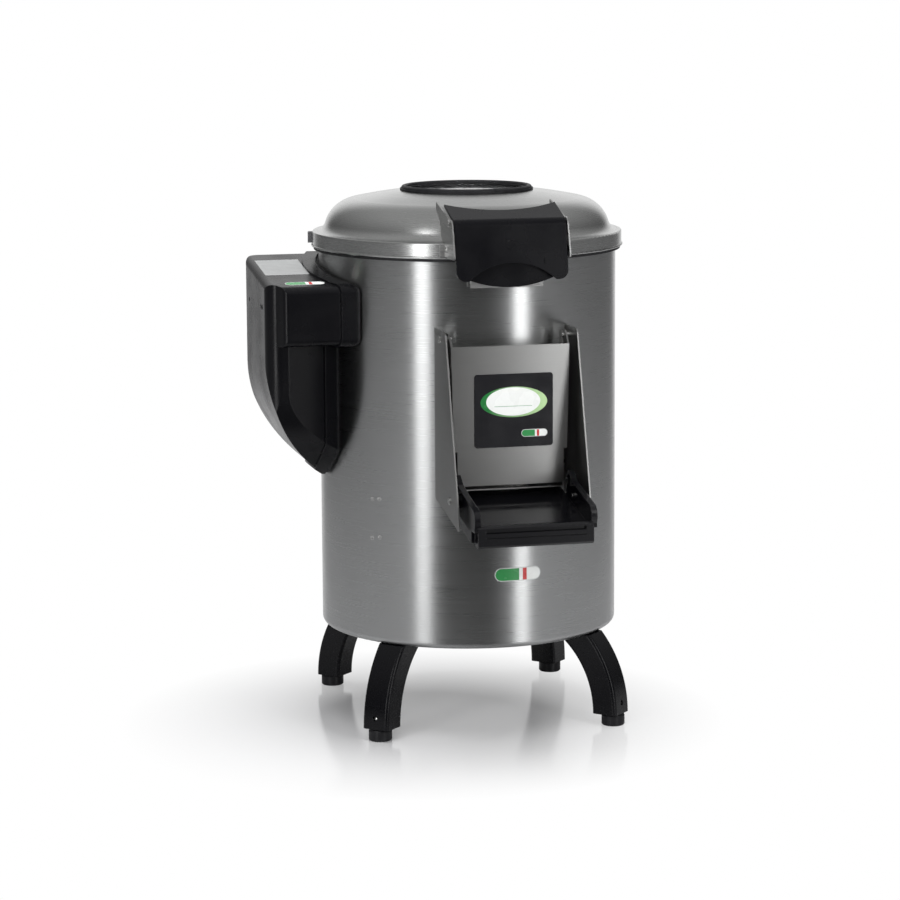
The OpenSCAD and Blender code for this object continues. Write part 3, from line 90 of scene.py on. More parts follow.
class Shading:
    """Builds the node tree of one material around its Principled shader, or that of the world."""

    def __init__(self, name: str) -> None:
        """Starts an empty material.

        Args:
            name: the material's name.
        """
        self.material = bpy.data.materials.new(name)
        self.material.use_nodes = True
        self.tree = self.material.node_tree
        self.surface = self.tree.nodes["Principled BSDF"]
        self.coords = self.add("ShaderNodeTexCoord").outputs["Object"]

    @classmethod
    def of_world(cls, world: bpy.types.World) -> "Shading":
        """A helper for a world's node tree, whose coordinates are directions.

        Args:
            world: the world.

        Returns:
            The helper.
        """
        self = cls.__new__(cls)
        self.tree = world.node_tree
        self.coords = self.add("ShaderNodeTexCoord").outputs["Generated"]
        return self

    def add(self, kind: str, **settings: object) -> bpy.types.Node:
        """Adds a node.

        Args:
            kind: Blender's name of the node.
            **settings: attributes to set on it.

        Returns:
            The new node.
        """
        node = self.tree.nodes.new(kind)
        for key, value in settings.items():
            setattr(node, key, value)
        return node

    def feed(self, socket: Socket, value: object) -> None:
        """Links a socket to another one, or sets its constant.

        Args:
            socket: the input.
            value: the output that it is linked to, or the constant.
        """
        if isinstance(value, bpy.types.NodeSocket):
            self.tree.links.new(value, socket)
        else:
            socket.default_value = value

    def fed(self, node: bpy.types.Node, *values: object) -> bpy.types.Node:
        """Feeds a node's first inputs in their order.

        Args:
            node: the node.
            *values: an output or a constant for each input.

        Returns:
            The node.
        """
        for socket, value in zip(node.inputs, values):
            self.feed(socket, value)
        return node

    def set(self, **values: object) -> None:
        """Sets or links the Principled shader's sockets.

        Args:
            **values: a value for each socket, with _ for each space in the socket's name.
        """
        for key, value in values.items():
            if isinstance(value, tuple) and len(value) == 3 and "Color" in key:
                value = (*value, 1.0)
            self.feed(self.surface.inputs[key.replace("_", " ")], value)

    def noise(
        self,
        size: float,
        stretch: Sequence[float] = (1, 1, 1),
        detail: float = 3,
        where: Socket | None = None,
    ) -> Socket:
        """Cloudy pattern between 0 and 1.

        Args:
            size: size of its largest patches, in metres.
            stretch: scale along each axis, for a pattern drawn out along a direction.
            detail: number of finer octaves.
            where: coordinates, if not the object's own.

        Returns:
            The pattern's value.
        """
        if where is None:
            mapping = self.fed(self.add("ShaderNodeMapping"), self.coords)
            mapping.inputs["Scale"].default_value = stretch
            where = mapping.outputs["Vector"]
        node = self.fed(self.add("ShaderNodeTexNoise"), where)
        node.inputs["Scale"].default_value = 1 / size
        node.inputs["Detail"].default_value = detail
        return node.outputs["Fac"]

    def cells(self, size: float) -> Socket:
        """Distance to the middle of the nearest cell of a cell pattern.

        Args:
            size: size of the cells, in metres.

        Returns:
            The distance, in cells.
        """
        node = self.fed(self.add("ShaderNodeTexVoronoi"), self.coords)
        node.inputs["Scale"].default_value = 1 / size
        return node.outputs["Distance"]

    def span(self, value: Socket, low: float, high: float, start: float = 0.0, end: float = 1.0) -> Socket:
        """Carries a value from the range start..end to low..high, and stops it there."""
        return self.fed(self.add("ShaderNodeMapRange"), value, start, end, low, high).outputs["Result"]

    def maths(self, operation: str, *values: object) -> Socket:
        """One step of arithmetic on numbers."""
        return self.fed(self.add("ShaderNodeMath", operation=operation), *values).outputs["Value"]

    def vector(self, operation: str, *values: object) -> Socket:
        """One step of arithmetic on vectors."""
        node = self.fed(self.add("ShaderNodeVectorMath", operation=operation), *values)
        return node.outputs["Value" if operation in NUMBER_STEPS else "Vector"]

    def axis(self, name: str, value: Socket) -> Socket:
        """One coordinate of a vector, by its capital letter."""
        return self.fed(self.add("ShaderNodeSeparateXYZ"), value).outputs[name]

    def joined(self, *values: object) -> Socket:
        """A vector of up to three coordinates, with 0 for those left out."""
        return self.fed(self.add("ShaderNodeCombineXYZ"), *values).outputs["Vector"]

    def blend(self, amount: object, first: object, second: object) -> Socket:
        """Mixes two colours.

        Args:
            amount: share of the second one.
            first: a colour or an output.
            second: a colour or an output.

        Returns:
            The mixed colour.
        """
        node = self.add("ShaderNodeMix", data_type="RGBA")
        for name, value in (("Factor_Float", amount), ("A_Color", first), ("B_Color", second)):
            if isinstance(value, tuple):
                value = (*value[:3], 1.0)
            self.feed(next(s for s in node.inputs if s.identifier == name), value)
        return next(s for s in node.outputs if s.identifier == "Result_Color")

    def mixed(self, amount: Socket, first: bpy.types.Node, second: bpy.types.Node) -> bpy.types.Node:
        """A node that mixes two shader nodes by a share of the second one."""
        return self.fed(self.add("ShaderNodeMixShader"), amount, first.outputs[0], second.outputs[0])

    def bumps(self, height: Socket, depth: float, below: Socket | None = None) -> Socket:
        """Surface normal pushed in and out by a height pattern.

        Args:
            height: pattern between 0 and 1.
            depth: height of its full range, in metres.
            below: normal that it starts from.

        Returns:
            The new normal.
        """
        node = self.add("ShaderNodeBump")
        node.inputs["Distance"].default_value = depth
        self.feed(node.inputs["Height"], height)
        if below is not None:
            self.feed(node.inputs["Normal"], below)
        return node.outputs["Normal"]

    def rounded(self, radius: float) -> Socket:
        """Normal that rounds each sharp edge to a small radius."""
        return self.fed(self.add("ShaderNodeBevel", samples=4), radius).outputs["Normal"]

    def edges(self, radius: float) -> Socket:
        """1 along sharp edges, as far as the radius, and 0 away from them."""
        face = self.add("ShaderNodeNewGeometry").outputs["True Normal"]
        return self.span(self.vector("DOT_PRODUCT", self.rounded(radius), face), 1.0, 0.0, 0.75, 0.99)

    def upward(self) -> Socket:
        """1 where the surface faces up and 0 where it stands upright or faces down."""
        normal = self.add("ShaderNodeNewGeometry").outputs["Normal"]
        return self.span(self.axis("Z", normal), 0.0, 1.0, 0.35, 0.95)

    def around_line(self) -> Socket:
        """Direction of a circle around the tub's axis."""
        return self.vector("NORMALIZE", self.vector("CROSS_PRODUCT", (0, 0, 1), self.coords))

    def radius_coords(self) -> Socket:
        """Coordinates of a pattern that doesn't change around the tub's axis."""
        radius = self.vector("LENGTH", self.vector("MULTIPLY", self.coords, (1, 1, 0)))
        return self.joined(radius, self.axis("Z", self.coords))


# ------------------------------------------------------------------ finishes


def tinted(tint: Colour, share: float, lift: float = 0.0) -> Colour:
    """A colour made darker or paler by a share, and lifted."""
    return tuple(c * share + lift for c in tint)


@dataclass(frozen=True)
class BrushedSteel:
    """Stainless sheet with fine brushing lines, which may be a little bowed across its width."""

    name: str
    tint: Colour
    grain: Grain
    roughness: float = 0.28
    anisotropy: float = 0.7
    line: float = 0.0007
    depth: float = 0.0000012
    edge: float = 0.0005
    bow: float = 0.0

    def material(self) -> bpy.types.Material:
        """Builds the material.

        Returns:
            The material.
        """
        s = Shading(self.name)
        spun = self.grain is Grain.SPUN
        lines = s.noise(self.line, self.grain.value, 4, s.radius_coords() if spun else None)
        broad = s.noise(0.16, detail=2)
        smudge = s.noise(0.05, detail=2)
        tone = s.maths("ADD", s.span(lines, -0.2, 0.2, *MIDDLE), s.span(broad, 0.42, 0.58, *MIDDLE))
        shade = s.span(lines, self.roughness - 0.04, self.roughness + 0.04, *MIDDLE)
        s.set(
            Base_Color=s.blend(tone, tinted(self.tint, 0.94), tinted(self.tint, 1.06)),
            Metallic=1.0,
            Roughness=s.maths("ADD", shade, s.span(smudge, -0.01, 0.015, *MIDDLE)),
            Anisotropic=self.anisotropy,
            Anisotropic_Rotation=0.25 if spun else 0.0,
            Normal=s.bumps(lines, self.depth, self.bowed(s, s.rounded(self.edge))),
            Tangent=s.around_line() if spun else s.joined(0, 0, 1),
        )
        return s.material

    def bowed(self, s: Shading, normal: Socket) -> Socket:
        """Leans the normal outwards towards the sheet's left and right sides, as a bowed sheet does.

        Args:
            s: the node tree that it is added to.
            normal: the flat sheet's normal.

        Returns:
            The new normal.
        """
        if not self.bow:
            return normal
        lean = s.joined(s.maths("MULTIPLY", s.axis("X", s.coords), self.bow))
        return s.vector("NORMALIZE", s.vector("ADD", normal, lean))


@dataclass(frozen=True)
class TurnedMetal:
    """Turned or plated metal of pins, bolts and shafts."""

    name: str
    tint: Colour
    roughness: float = 0.22

    def material(self) -> bpy.types.Material:
        """Builds the material.

        Returns:
            The material.
        """
        s = Shading(self.name)
        cloud = s.noise(0.006, detail=4)
        fine = s.noise(0.0006, detail=2)
        s.set(
            Base_Color=s.blend(cloud, tinted(self.tint, 0.82), self.tint),
            Metallic=1.0,
            Roughness=s.span(cloud, self.roughness - 0.05, self.roughness + 0.1, *MIDDLE),
            Normal=s.bumps(fine, 0.00001, s.rounded(0.0004)),
        )
        return s.material


@dataclass(frozen=True)
class CastMetal:
    """Casting with a sandy skin, bare or painted."""

    name: str
    tint: Colour
    metallic: float = 1.0
    roughness: float = 0.5
    pit: float = 0.0014
    depth: float = 0.00012
    shine: float = 0.5

    def material(self) -> bpy.types.Material:
        """Builds the material.

        Returns:
            The material.
        """
        s = Shading(self.name)
        skin = s.noise(self.pit, detail=4)
        stain = s.noise(0.04, detail=3)
        worn = s.maths("MULTIPLY", s.edges(0.0008), s.span(stain, 0.1, 0.9, 0.35, 0.65))
        base = s.blend(stain, tinted(self.tint, 0.8), tinted(self.tint, 1.12))
        s.set(
            Base_Color=s.blend(s.maths("MULTIPLY", worn, 0.35), base, tinted(self.tint, 1.7, 0.01)),
            Metallic=self.metallic,
            Specular_IOR_Level=self.shine,
            Roughness=s.span(skin, self.roughness - 0.07, self.roughness + 0.1, *MIDDLE),
            Normal=s.bumps(skin, self.depth, s.rounded(0.0008)),
        )
        return s.material


@dataclass(frozen=True)
class MouldedPlastic:
    """Injection moulded plastic with a fine moulded texture, handling gloss and a little dust."""

    name: str
    tint: Colour
    roughness: float = 0.36
    texture: float = 0.0009
    depth: float = 0.000005
    dust: float = 0.04
    edge: float = 0.0008
    shine: float = 0.5

    def material(self) -> bpy.types.Material:
        """Builds the material.

        Returns:
            The material.
        """
        s = Shading(self.name)
        texture = s.noise(self.texture, detail=2)
        handled = s.noise(0.05, detail=3)
        specks = s.noise(0.004, detail=5)
        dusty = s.maths("MULTIPLY", s.upward(), s.span(specks, 0.2, 1.0, 0.4, 0.75))
        rubbed = s.maths("MULTIPLY", s.edges(self.edge * 1.4), s.span(handled, 0.0, 0.5, 0.4, 0.7))
        base = s.blend(s.maths("MULTIPLY", rubbed, 0.3), self.tint, tinted(self.tint, 1.6, 0.03))
        s.set(
            Base_Color=s.blend(s.maths("MULTIPLY", dusty, self.dust), base, (0.42, 0.41, 0.39)),
            Roughness=s.maths(
                "ADD",
                s.span(handled, self.roughness - 0.05, self.roughness + 0.07, *MIDDLE),
                s.maths("MULTIPLY", dusty, self.dust * 2),
            ),
            Specular_IOR_Level=self.shine,
            Normal=s.bumps(texture, self.depth, s.rounded(self.edge)),
        )
        return s.material


@dataclass(frozen=True)
class Rubber:
    """Soft black rubber with a faint bloom."""

    name: str
    tint: Colour = (0.018, 0.018, 0.019)
    roughness: float = 0.55
    shine: float = 0.5

    def material(self) -> bpy.types.Material:
        """Builds the material.

        Returns:
            The material.
        """
        s = Shading(self.name)
        bloom = s.noise(0.012, detail=4)
        skin = s.noise(0.0007, detail=3)
        s.set(
            Base_Color=s.blend(s.span(bloom, 0.0, 1.0, 0.35, 0.7), self.tint, tinted(self.tint, 1.8)),
            Roughness=s.span(bloom, self.roughness - 0.08, self.roughness + 0.12, *MIDDLE),
            Specular_IOR_Level=self.shine,
            Normal=s.bumps(skin, 0.00003, s.rounded(0.0005)),
        )
        return s.material


@dataclass(frozen=True)
class Grit:
    """Coarse abrasive grains bonded in resin."""

    name: str
    resin: Colour
    grain: Colour
    size: float = 0.0018

    def material(self) -> bpy.types.Material:
        """Builds the material.

        Returns:
            The material.
        """
        s = Shading(self.name)
        grains = s.cells(self.size)
        small = s.cells(self.size * 0.45)
        patch = s.noise(0.02, detail=3)
        height = s.maths("ADD", s.span(grains, 1.0, 0.0, 0.0, 0.8), s.span(small, 0.4, 0.0, 0.0, 0.8))
        tone = s.maths("MULTIPLY", s.span(grains, 1.0, 0.0, 0.1, 0.5), s.span(patch, 0.5, 1.0, *MIDDLE))
        s.set(
            Base_Color=s.blend(tone, self.resin, self.grain),
            Roughness=s.span(small, 0.45, 0.8, 0.0, 0.6),
            Normal=s.bumps(height, 0.0009),
        )
        return s.material


@dataclass(frozen=True)
class Pane:
    """Clear moulded window with hairline scratches."""

    name: str
    tint: Colour = (0.93, 0.95, 0.95)

    def material(self) -> bpy.types.Material:
        """Builds the material.

        Returns:
            The material.
        """
        s = Shading(self.name)
        hair = s.noise(0.004, (1, 0.03, 1), 5)
        haze = s.noise(0.03, detail=4)
        s.set(
            Base_Color=s.blend(haze, tinted(self.tint, 0.96), self.tint),
            Roughness=s.span(hair, 0.03, 0.14, 0.45, 0.75),
            IOR=1.49,
            Transmission_Weight=1.0,
            Normal=s.bumps(hair, 0.000006),
        )
        return s.material


@dataclass(frozen=True)
class Print:
    """Printed film with a thin gloss over it, in one colour or fading to another along X."""

    name: str
    tint: Colour
    roughness: float = 0.3
    metallic: float = 0.0
    faded: Colour | None = None
    fade_from: float = 0.0
    fade_to: float = 1.0

    def material(self) -> bpy.types.Material:
        """Builds the material.

        Returns:
            The material.
        """
        s = Shading(self.name)
        mottle = s.noise(0.004, detail=4)
        film = s.noise(0.02, detail=2)
        base = s.blend(mottle, tinted(self.tint, 0.93), self.tint)
        if self.faded is not None:
            along = s.span(s.axis("X", s.coords), 0.0, 1.0, self.fade_from, self.fade_to)
            base = s.blend(along, base, self.faded)
        s.set(
            Base_Color=base,
            Metallic=self.metallic,
            Roughness=s.span(film, self.roughness - 0.05, self.roughness + 0.06, *MIDDLE),
            Normal=s.bumps(film, 0.00006, s.rounded(0.0003)),
        )
        return s.material


TUB_STEEL = BrushedSteel("tub_steel", (0.40, 0.405, 0.405), Grain.AROUND, 0.30, 0.85)
LID_STEEL = BrushedSteel("lid_steel", (0.50, 0.505, 0.50), Grain.SPUN, 0.27, 0.6)
SHEET_STEEL = BrushedSteel("sheet_steel", (0.50, 0.50, 0.495), Grain.ACROSS, 0.3, 0.6)
PLATE_STEEL = BrushedSteel("plate_steel", (0.40, 0.40, 0.395), Grain.ACROSS, 0.33, 0.5)
DOOR_STEEL = BrushedSteel("door_steel", (0.36, 0.36, 0.355), Grain.ACROSS, 0.42, 0.4, bow=1.1)
INNER_STEEL = BrushedSteel("inner_steel", (0.46, 0.46, 0.45), Grain.AROUND, 0.36, 0.4)
TURNED_STEEL = TurnedMetal("turned_steel", (0.72, 0.72, 0.71))
SPIGOT_STEEL = TurnedMetal("spigot_steel", (0.66, 0.66, 0.65), 0.3)
FITTING_BRASS = TurnedMetal("fitting_brass", (0.80, 0.60, 0.28), 0.26)
ABRASIVE = Grit("abrasive", (0.035, 0.033, 0.03), (0.30, 0.29, 0.27))
CAST_ALLOY = CastMetal("cast_alloy", (0.55, 0.55, 0.56), 1.0, 0.42)
HOUSING_IRON = CastMetal("housing_iron", (0.16, 0.17, 0.18), 0.2, 0.55, 0.002, 0.0002)
MOTOR_PAINT = CastMetal("motor_paint", (0.07, 0.09, 0.12), 0.0, 0.4, 0.003, 0.00006)
LEG_BLACK = CastMetal("leg_black", (0.002, 0.002, 0.003), 0.0, 0.22, 0.0022, 0.00001, 0.25)
BLACK_RUBBER = Rubber("black_rubber", (0.010, 0.010, 0.011), 0.5, 0.3)
FOOT_RUBBER = Rubber("foot_rubber", (0.005, 0.005, 0.006), 0.4, 0.3)
BOX_PLASTIC = MouldedPlastic("box_plastic", (0.003, 0.003, 0.004), 0.24, dust=0.02, edge=0.0014, shine=0.25)
HANDLE_PLASTIC = MouldedPlastic("handle_plastic", (0.002, 0.002, 0.003), 0.24, dust=0.006, shine=0.2)
TRAY_PLASTIC = MouldedPlastic("tray_plastic", (0.002, 0.002, 0.003), 0.13, 0.0016, 0.000008, 0.01, 0.0014)
PANEL_GREY = MouldedPlastic("panel_grey", (0.09, 0.09, 0.095), 0.42, 0.0007, 0.00005)
SWITCH_IVORY = MouldedPlastic("switch_ivory", (0.70, 0.68, 0.62), 0.38, 0.001, 0.00002, 0.0)
KNOB_BLACK = MouldedPlastic("knob_black", (0.02, 0.02, 0.02), 0.4, 0.0006, 0.00005)
BUTTON_GREEN = MouldedPlastic("button_green", (0.02, 0.30, 0.07), 0.25, 0.002, 0.00001, 0.0)
BUTTON_RED = MouldedPlastic("button_red", (0.50, 0.02, 0.02), 0.25, 0.002, 0.00001, 0.0)
CLEAR_PANE = Pane("clear_pane")
BADGE_BLACK = Print("badge_black", (0.008, 0.008, 0.010), 0.18)
PRINT_WHITE = Print("print_white", (0.86, 0.88, 0.86), 0.25)
PRINT_GREEN = Print("print_green", (0.03, 0.26, 0.07), 0.25)
PRINT_RED = Print("print_red", (0.55, 0.03, 0.03), 0.25)
PRINT_SILVER = Print("print_silver", (0.62, 0.64, 0.63), 0.35, 0.2)
OVAL_GREEN = Print("oval_green", (0.012, 0.17, 0.035), 0.25, 0.0, (0.46, 0.66, 0.34), -30 * MM, 44 * MM)
LABEL_SILVER = Print("label_silver", (0.42, 0.43, 0.43), 0.38, 0.4)
LABEL_INK = Print("label_ink", (0.10, 0.10, 0.105), 0.4)

Finish = BrushedSteel | TurnedMetal | CastMetal | MouldedPlastic | Rubber | Grit | Pane | Print


@cache
def material_of(finish: Finish) -> bpy.types.Material:
    """The one material that all pieces of a finish share."""
    return finish.material()


# ------------------------------------------------------------------ pieces


def linked(name: str, data: bpy.types.ID) -> bpy.types.Object:
    """Adds an object to the scene.

    Args:
        name: its name.
        data: its mesh, lamp or camera.

    Returns:
        The new object.
    """
    obj = bpy.data.objects.new(name, data)
    bpy.context.scene.collection.objects.link(obj)
    return obj


def piece(
    name: str, mesh: bmesh.types.BMesh, finishes: Iterable[Finish], body: str
) -> bpy.types.Object:
    """Turns a finished bmesh into an object that rides on a body.

    Args:
        name: the object's name.
        mesh: its shape, in the frame's own place; it is freed.
        finishes: one finish for each material index that its faces use.
        body: the CAD body that carries it.

    Returns:
        The new object.
    """
    bmesh.ops.recalc_face_normals(mesh, faces=mesh.faces[:])
    data = bpy.data.meshes.new(name)
    mesh.to_mesh(data)
    mesh.free()
    obj = linked(name, data)
    for finish in finishes:
        data.materials.append(material_of(finish))
    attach(obj, body)
    LOG.info("made %s on %s", name, body)
    return obj


def facing(at: Vector, out: Vector, up: Vector = UP) -> Matrix:
    """The turn and move that carries a shape made around the origin to its place.

    Args:
        at: where its origin goes.
        out: where its +Z points afterwards.
        up: where its +Y points afterwards, as nearly as it can.

    Returns:
        The matrix.
    """
    out = out.normalized()
    across = up.cross(out).normalized()
    return Matrix.Translation(at) @ Matrix((across, out.cross(across), out)).transposed().to_4x4()


def turned(
    mesh: bmesh.types.BMesh, outline: Sequence[tuple[float, float]], place: Matrix, steps: int = 32
) -> None:
    """Adds a turned shape.

    Args:
        mesh: what it is added to.
        outline: its radius and height at each point of its outline, in millimetres.
        place: carries it from the origin to its place.
        steps: number of its sides.
    """
    points = [mesh.verts.new(plain(radius, 0, height)) for radius, height in outline]
    lines = [mesh.edges.new(pair) for pair in zip(points, points[1:])]
    bmesh.ops.spin(
        mesh, geom=points + lines, cent=(0, 0, 0), axis=UP, angle=math.tau, steps=steps, use_merge=True
    )
    found = connected(points)
    bmesh.ops.remove_doubles(mesh, verts=list(found), dist=1e-6)
    kept = [v for v in found if v.is_valid]
    bmesh.ops.transform(mesh, matrix=place, verts=kept)


def connected(start: Iterable[bmesh.types.BMVert]) -> set[bmesh.types.BMVert]:
    """All the vertices that hang together with some of them.

    Args:
        start: some of them.

    Returns:
        All of them.
    """
    found = set(start)
    queue = list(found)
    while queue:
        for edge in queue.pop().link_edges:
            for vert in edge.verts:
                if vert not in found:
                    found.add(vert)
                    queue.append(vert)
    return found


def block(mesh: bmesh.types.BMesh, size: Vector, place: Matrix, edge: float, index: int = 0) -> None:
    """Adds a bevelled block.

    Args:
        mesh: what it is added to.
        size: its lengths along X, Y and Z.
        place: carries it from the origin to its place.
        edge: width of its bevels.
        index: material index of its faces.
    """
    made = bmesh.ops.create_cube(mesh, size=1, matrix=Matrix.Diagonal((*size, 1)))["verts"]
    edges = list({e for v in made for e in v.link_edges})
    cut = bmesh.ops.bevel(
        mesh, geom=edges, offset=edge, affect="EDGES", segments=2, profile=0.5, material=-1
    )
    verts = connected(cut["verts"])
    bmesh.ops.transform(mesh, matrix=place, verts=list(verts))
    for face in {f for v in verts for f in v.link_faces}:
        face.material_index = index


def oval(
    mesh: bmesh.types.BMesh, half_x: float, half_y: float, thick: float, place: Matrix, index: int = 0
) -> None:
    """Adds a thin oval of print.

    Args:
        mesh: what it is added to.
        half_x: half of its length.
        half_y: half of its width.
        thick: its thickness.
        place: carries its back from the XY plane to its place.
        index: material index of its faces.
    """
    made = bmesh.ops.create_circle(
        mesh, cap_ends=True, segments=96, radius=1, matrix=Matrix.Diagonal((half_x, half_y, 1, 1))
    )["verts"]
    faces = list({f for v in made for f in v.link_faces})
    bmesh.ops.solidify(mesh, geom=faces, thickness=thick)
    verts = list(connected(made))
    level(verts)
    bmesh.ops.transform(mesh, matrix=place, verts=verts)
    for face in {f for v in verts for f in v.link_faces}:
        face.material_index = index


def level(verts: Iterable[bmesh.types.BMVert]) -> None:
    """Moves a shape up or down so that it stands on the XY plane.

    Args:
        verts: its vertices.
    """
    verts = list(verts)
    low = min(v.co.z for v in verts)
    for vert in verts:
        vert.co.z -= low


@dataclass(frozen=True)
class Pill:
    """Long sticker with round ends, printed in bands of colour inside a pale rim."""

    name: str
    length: float
    width: float
    rim: float
    thick: float = 0.25 * MM
    sides: int = 48
    bend_step: float = 3 * MM
    bands: tuple[tuple[float, int], ...] = ((0.52, 1), (0.60, 2), (0.69, 3), (1.0, 4))
    inks: tuple[Print, ...] = (PRINT_SILVER, PRINT_GREEN, PRINT_WHITE, PRINT_RED, PRINT_WHITE)

    def outline(self) -> bmesh.types.BMesh:
        """Its flat shape on the XY plane, with a material index on each band.

        Returns:
            The shape.
        """
        mesh = bmesh.new()
        turn = Matrix.Rotation(math.pi / self.sides, 4, "Z")
        half = self.width / 2
        bmesh.ops.create_circle(mesh, cap_ends=True, segments=self.sides, radius=half, matrix=turn)
        for vert in mesh.verts:
            vert.co.x += math.copysign((self.length - self.width) / 2, vert.co.x)
        bmesh.ops.inset_region(
            mesh, faces=mesh.faces[:], thickness=self.rim, use_boundary=True, use_even_offset=True
        )
        inner = max(mesh.faces, key=lambda face: face.calc_area())
        inner.material_index = 1
        inside = self.length - 2 * self.rim
        for share, _ in self.bands[:-1]:
            self.cut(mesh, inside * (share - 0.5), printed=True)
        for face in mesh.faces:
            if face.material_index:
                share = face.calc_center_median().x / inside + 0.5
                face.material_index = next(index for limit, index in self.bands if share < limit)
        return mesh

    def cut(self, mesh: bmesh.types.BMesh, x: float, printed: bool = False) -> None:
        """Cuts it across.

        Args:
            mesh: the sticker.
            x: where it is cut.
            printed: cuts only its printed inside, not its rim.
        """
        faces = [f for f in mesh.faces if f.material_index or not printed]
        geom = list({v for f in faces for v in f.verts}) + list({e for f in faces for e in f.edges}) + faces
        bmesh.ops.bisect_plane(mesh, geom=geom, dist=1e-7, plane_co=(x, 0, 0), plane_no=(1, 0, 0))

    def build(self, place: Matrix, body: str, wrap: float = 0.0) -> bpy.types.Object:
        """Makes the sticker.

        Args:
            place: carries its back from the XY plane to its place.
            body: the CAD body that carries it.
            wrap: radius of the tub that it is bent around, or 0 where it lies flat.

        Returns:
            The new object.
        """
        mesh = self.outline()
        if wrap:
            steps = round(self.length / self.bend_step)
            for i in range(1, steps):
                self.cut(mesh, self.length * (i / steps - 0.5))
        bmesh.ops.solidify(mesh, geom=mesh.faces[:], thickness=self.thick)
        level(mesh.verts)
        if wrap:
            for vert in mesh.verts:
                angle, radius = vert.co.x / wrap, wrap + vert.co.z
                vert.co.x, vert.co.z = radius * math.sin(angle), radius * math.cos(angle) - wrap
        bmesh.ops.transform(mesh, matrix=place, verts=mesh.verts[:])
        return piece(self.name, mesh, self.inks, body)


# ------------------------------------------------------------------ sub-assemblies


# Half outline of a domed screw head, which sinks 0.4 mm into what it sits on
PAN_HEAD = ((0, 1.9), (1.1, 1.8), (2.2, 1.4), (3.0, 0.7), (3.2, 0.2), (3.2, -0.4), (0, -0.4))


def around(azimuth: float, radius: float, height: float) -> tuple[Vector, Vector]:
    """A place near the tub's wall, and the direction straight out of the wall there.

    Args:
        azimuth: degrees from the front towards +X.
        radius: distance from the tub's axis, in millimetres.
        height: height above the floor, in millimetres.

    Returns:
        The place in metres, and the direction.
    """
    out = Vector((math.sin(math.radians(azimuth)), -math.cos(math.radians(azimuth)), 0))
    return out * radius * MM + UP * height * MM, out


@dataclass
class Assembly:
    """CAD nodes that belong together, what they are made of, and the finer pieces added to them."""

    nodes: dict[str, bpy.types.Object]
    wear: ClassVar[dict[Finish, list[str]]] = {}

    def dress(self) -> None:
        """Gives each of its nodes its finish."""
        for finish, names in self.wear.items():
            for name in names:
                mesh = self.nodes[name].data
                mesh.materials.clear()
                mesh.materials.append(material_of(finish))
                LOG.info("dressed %s in %s", name, finish.name)


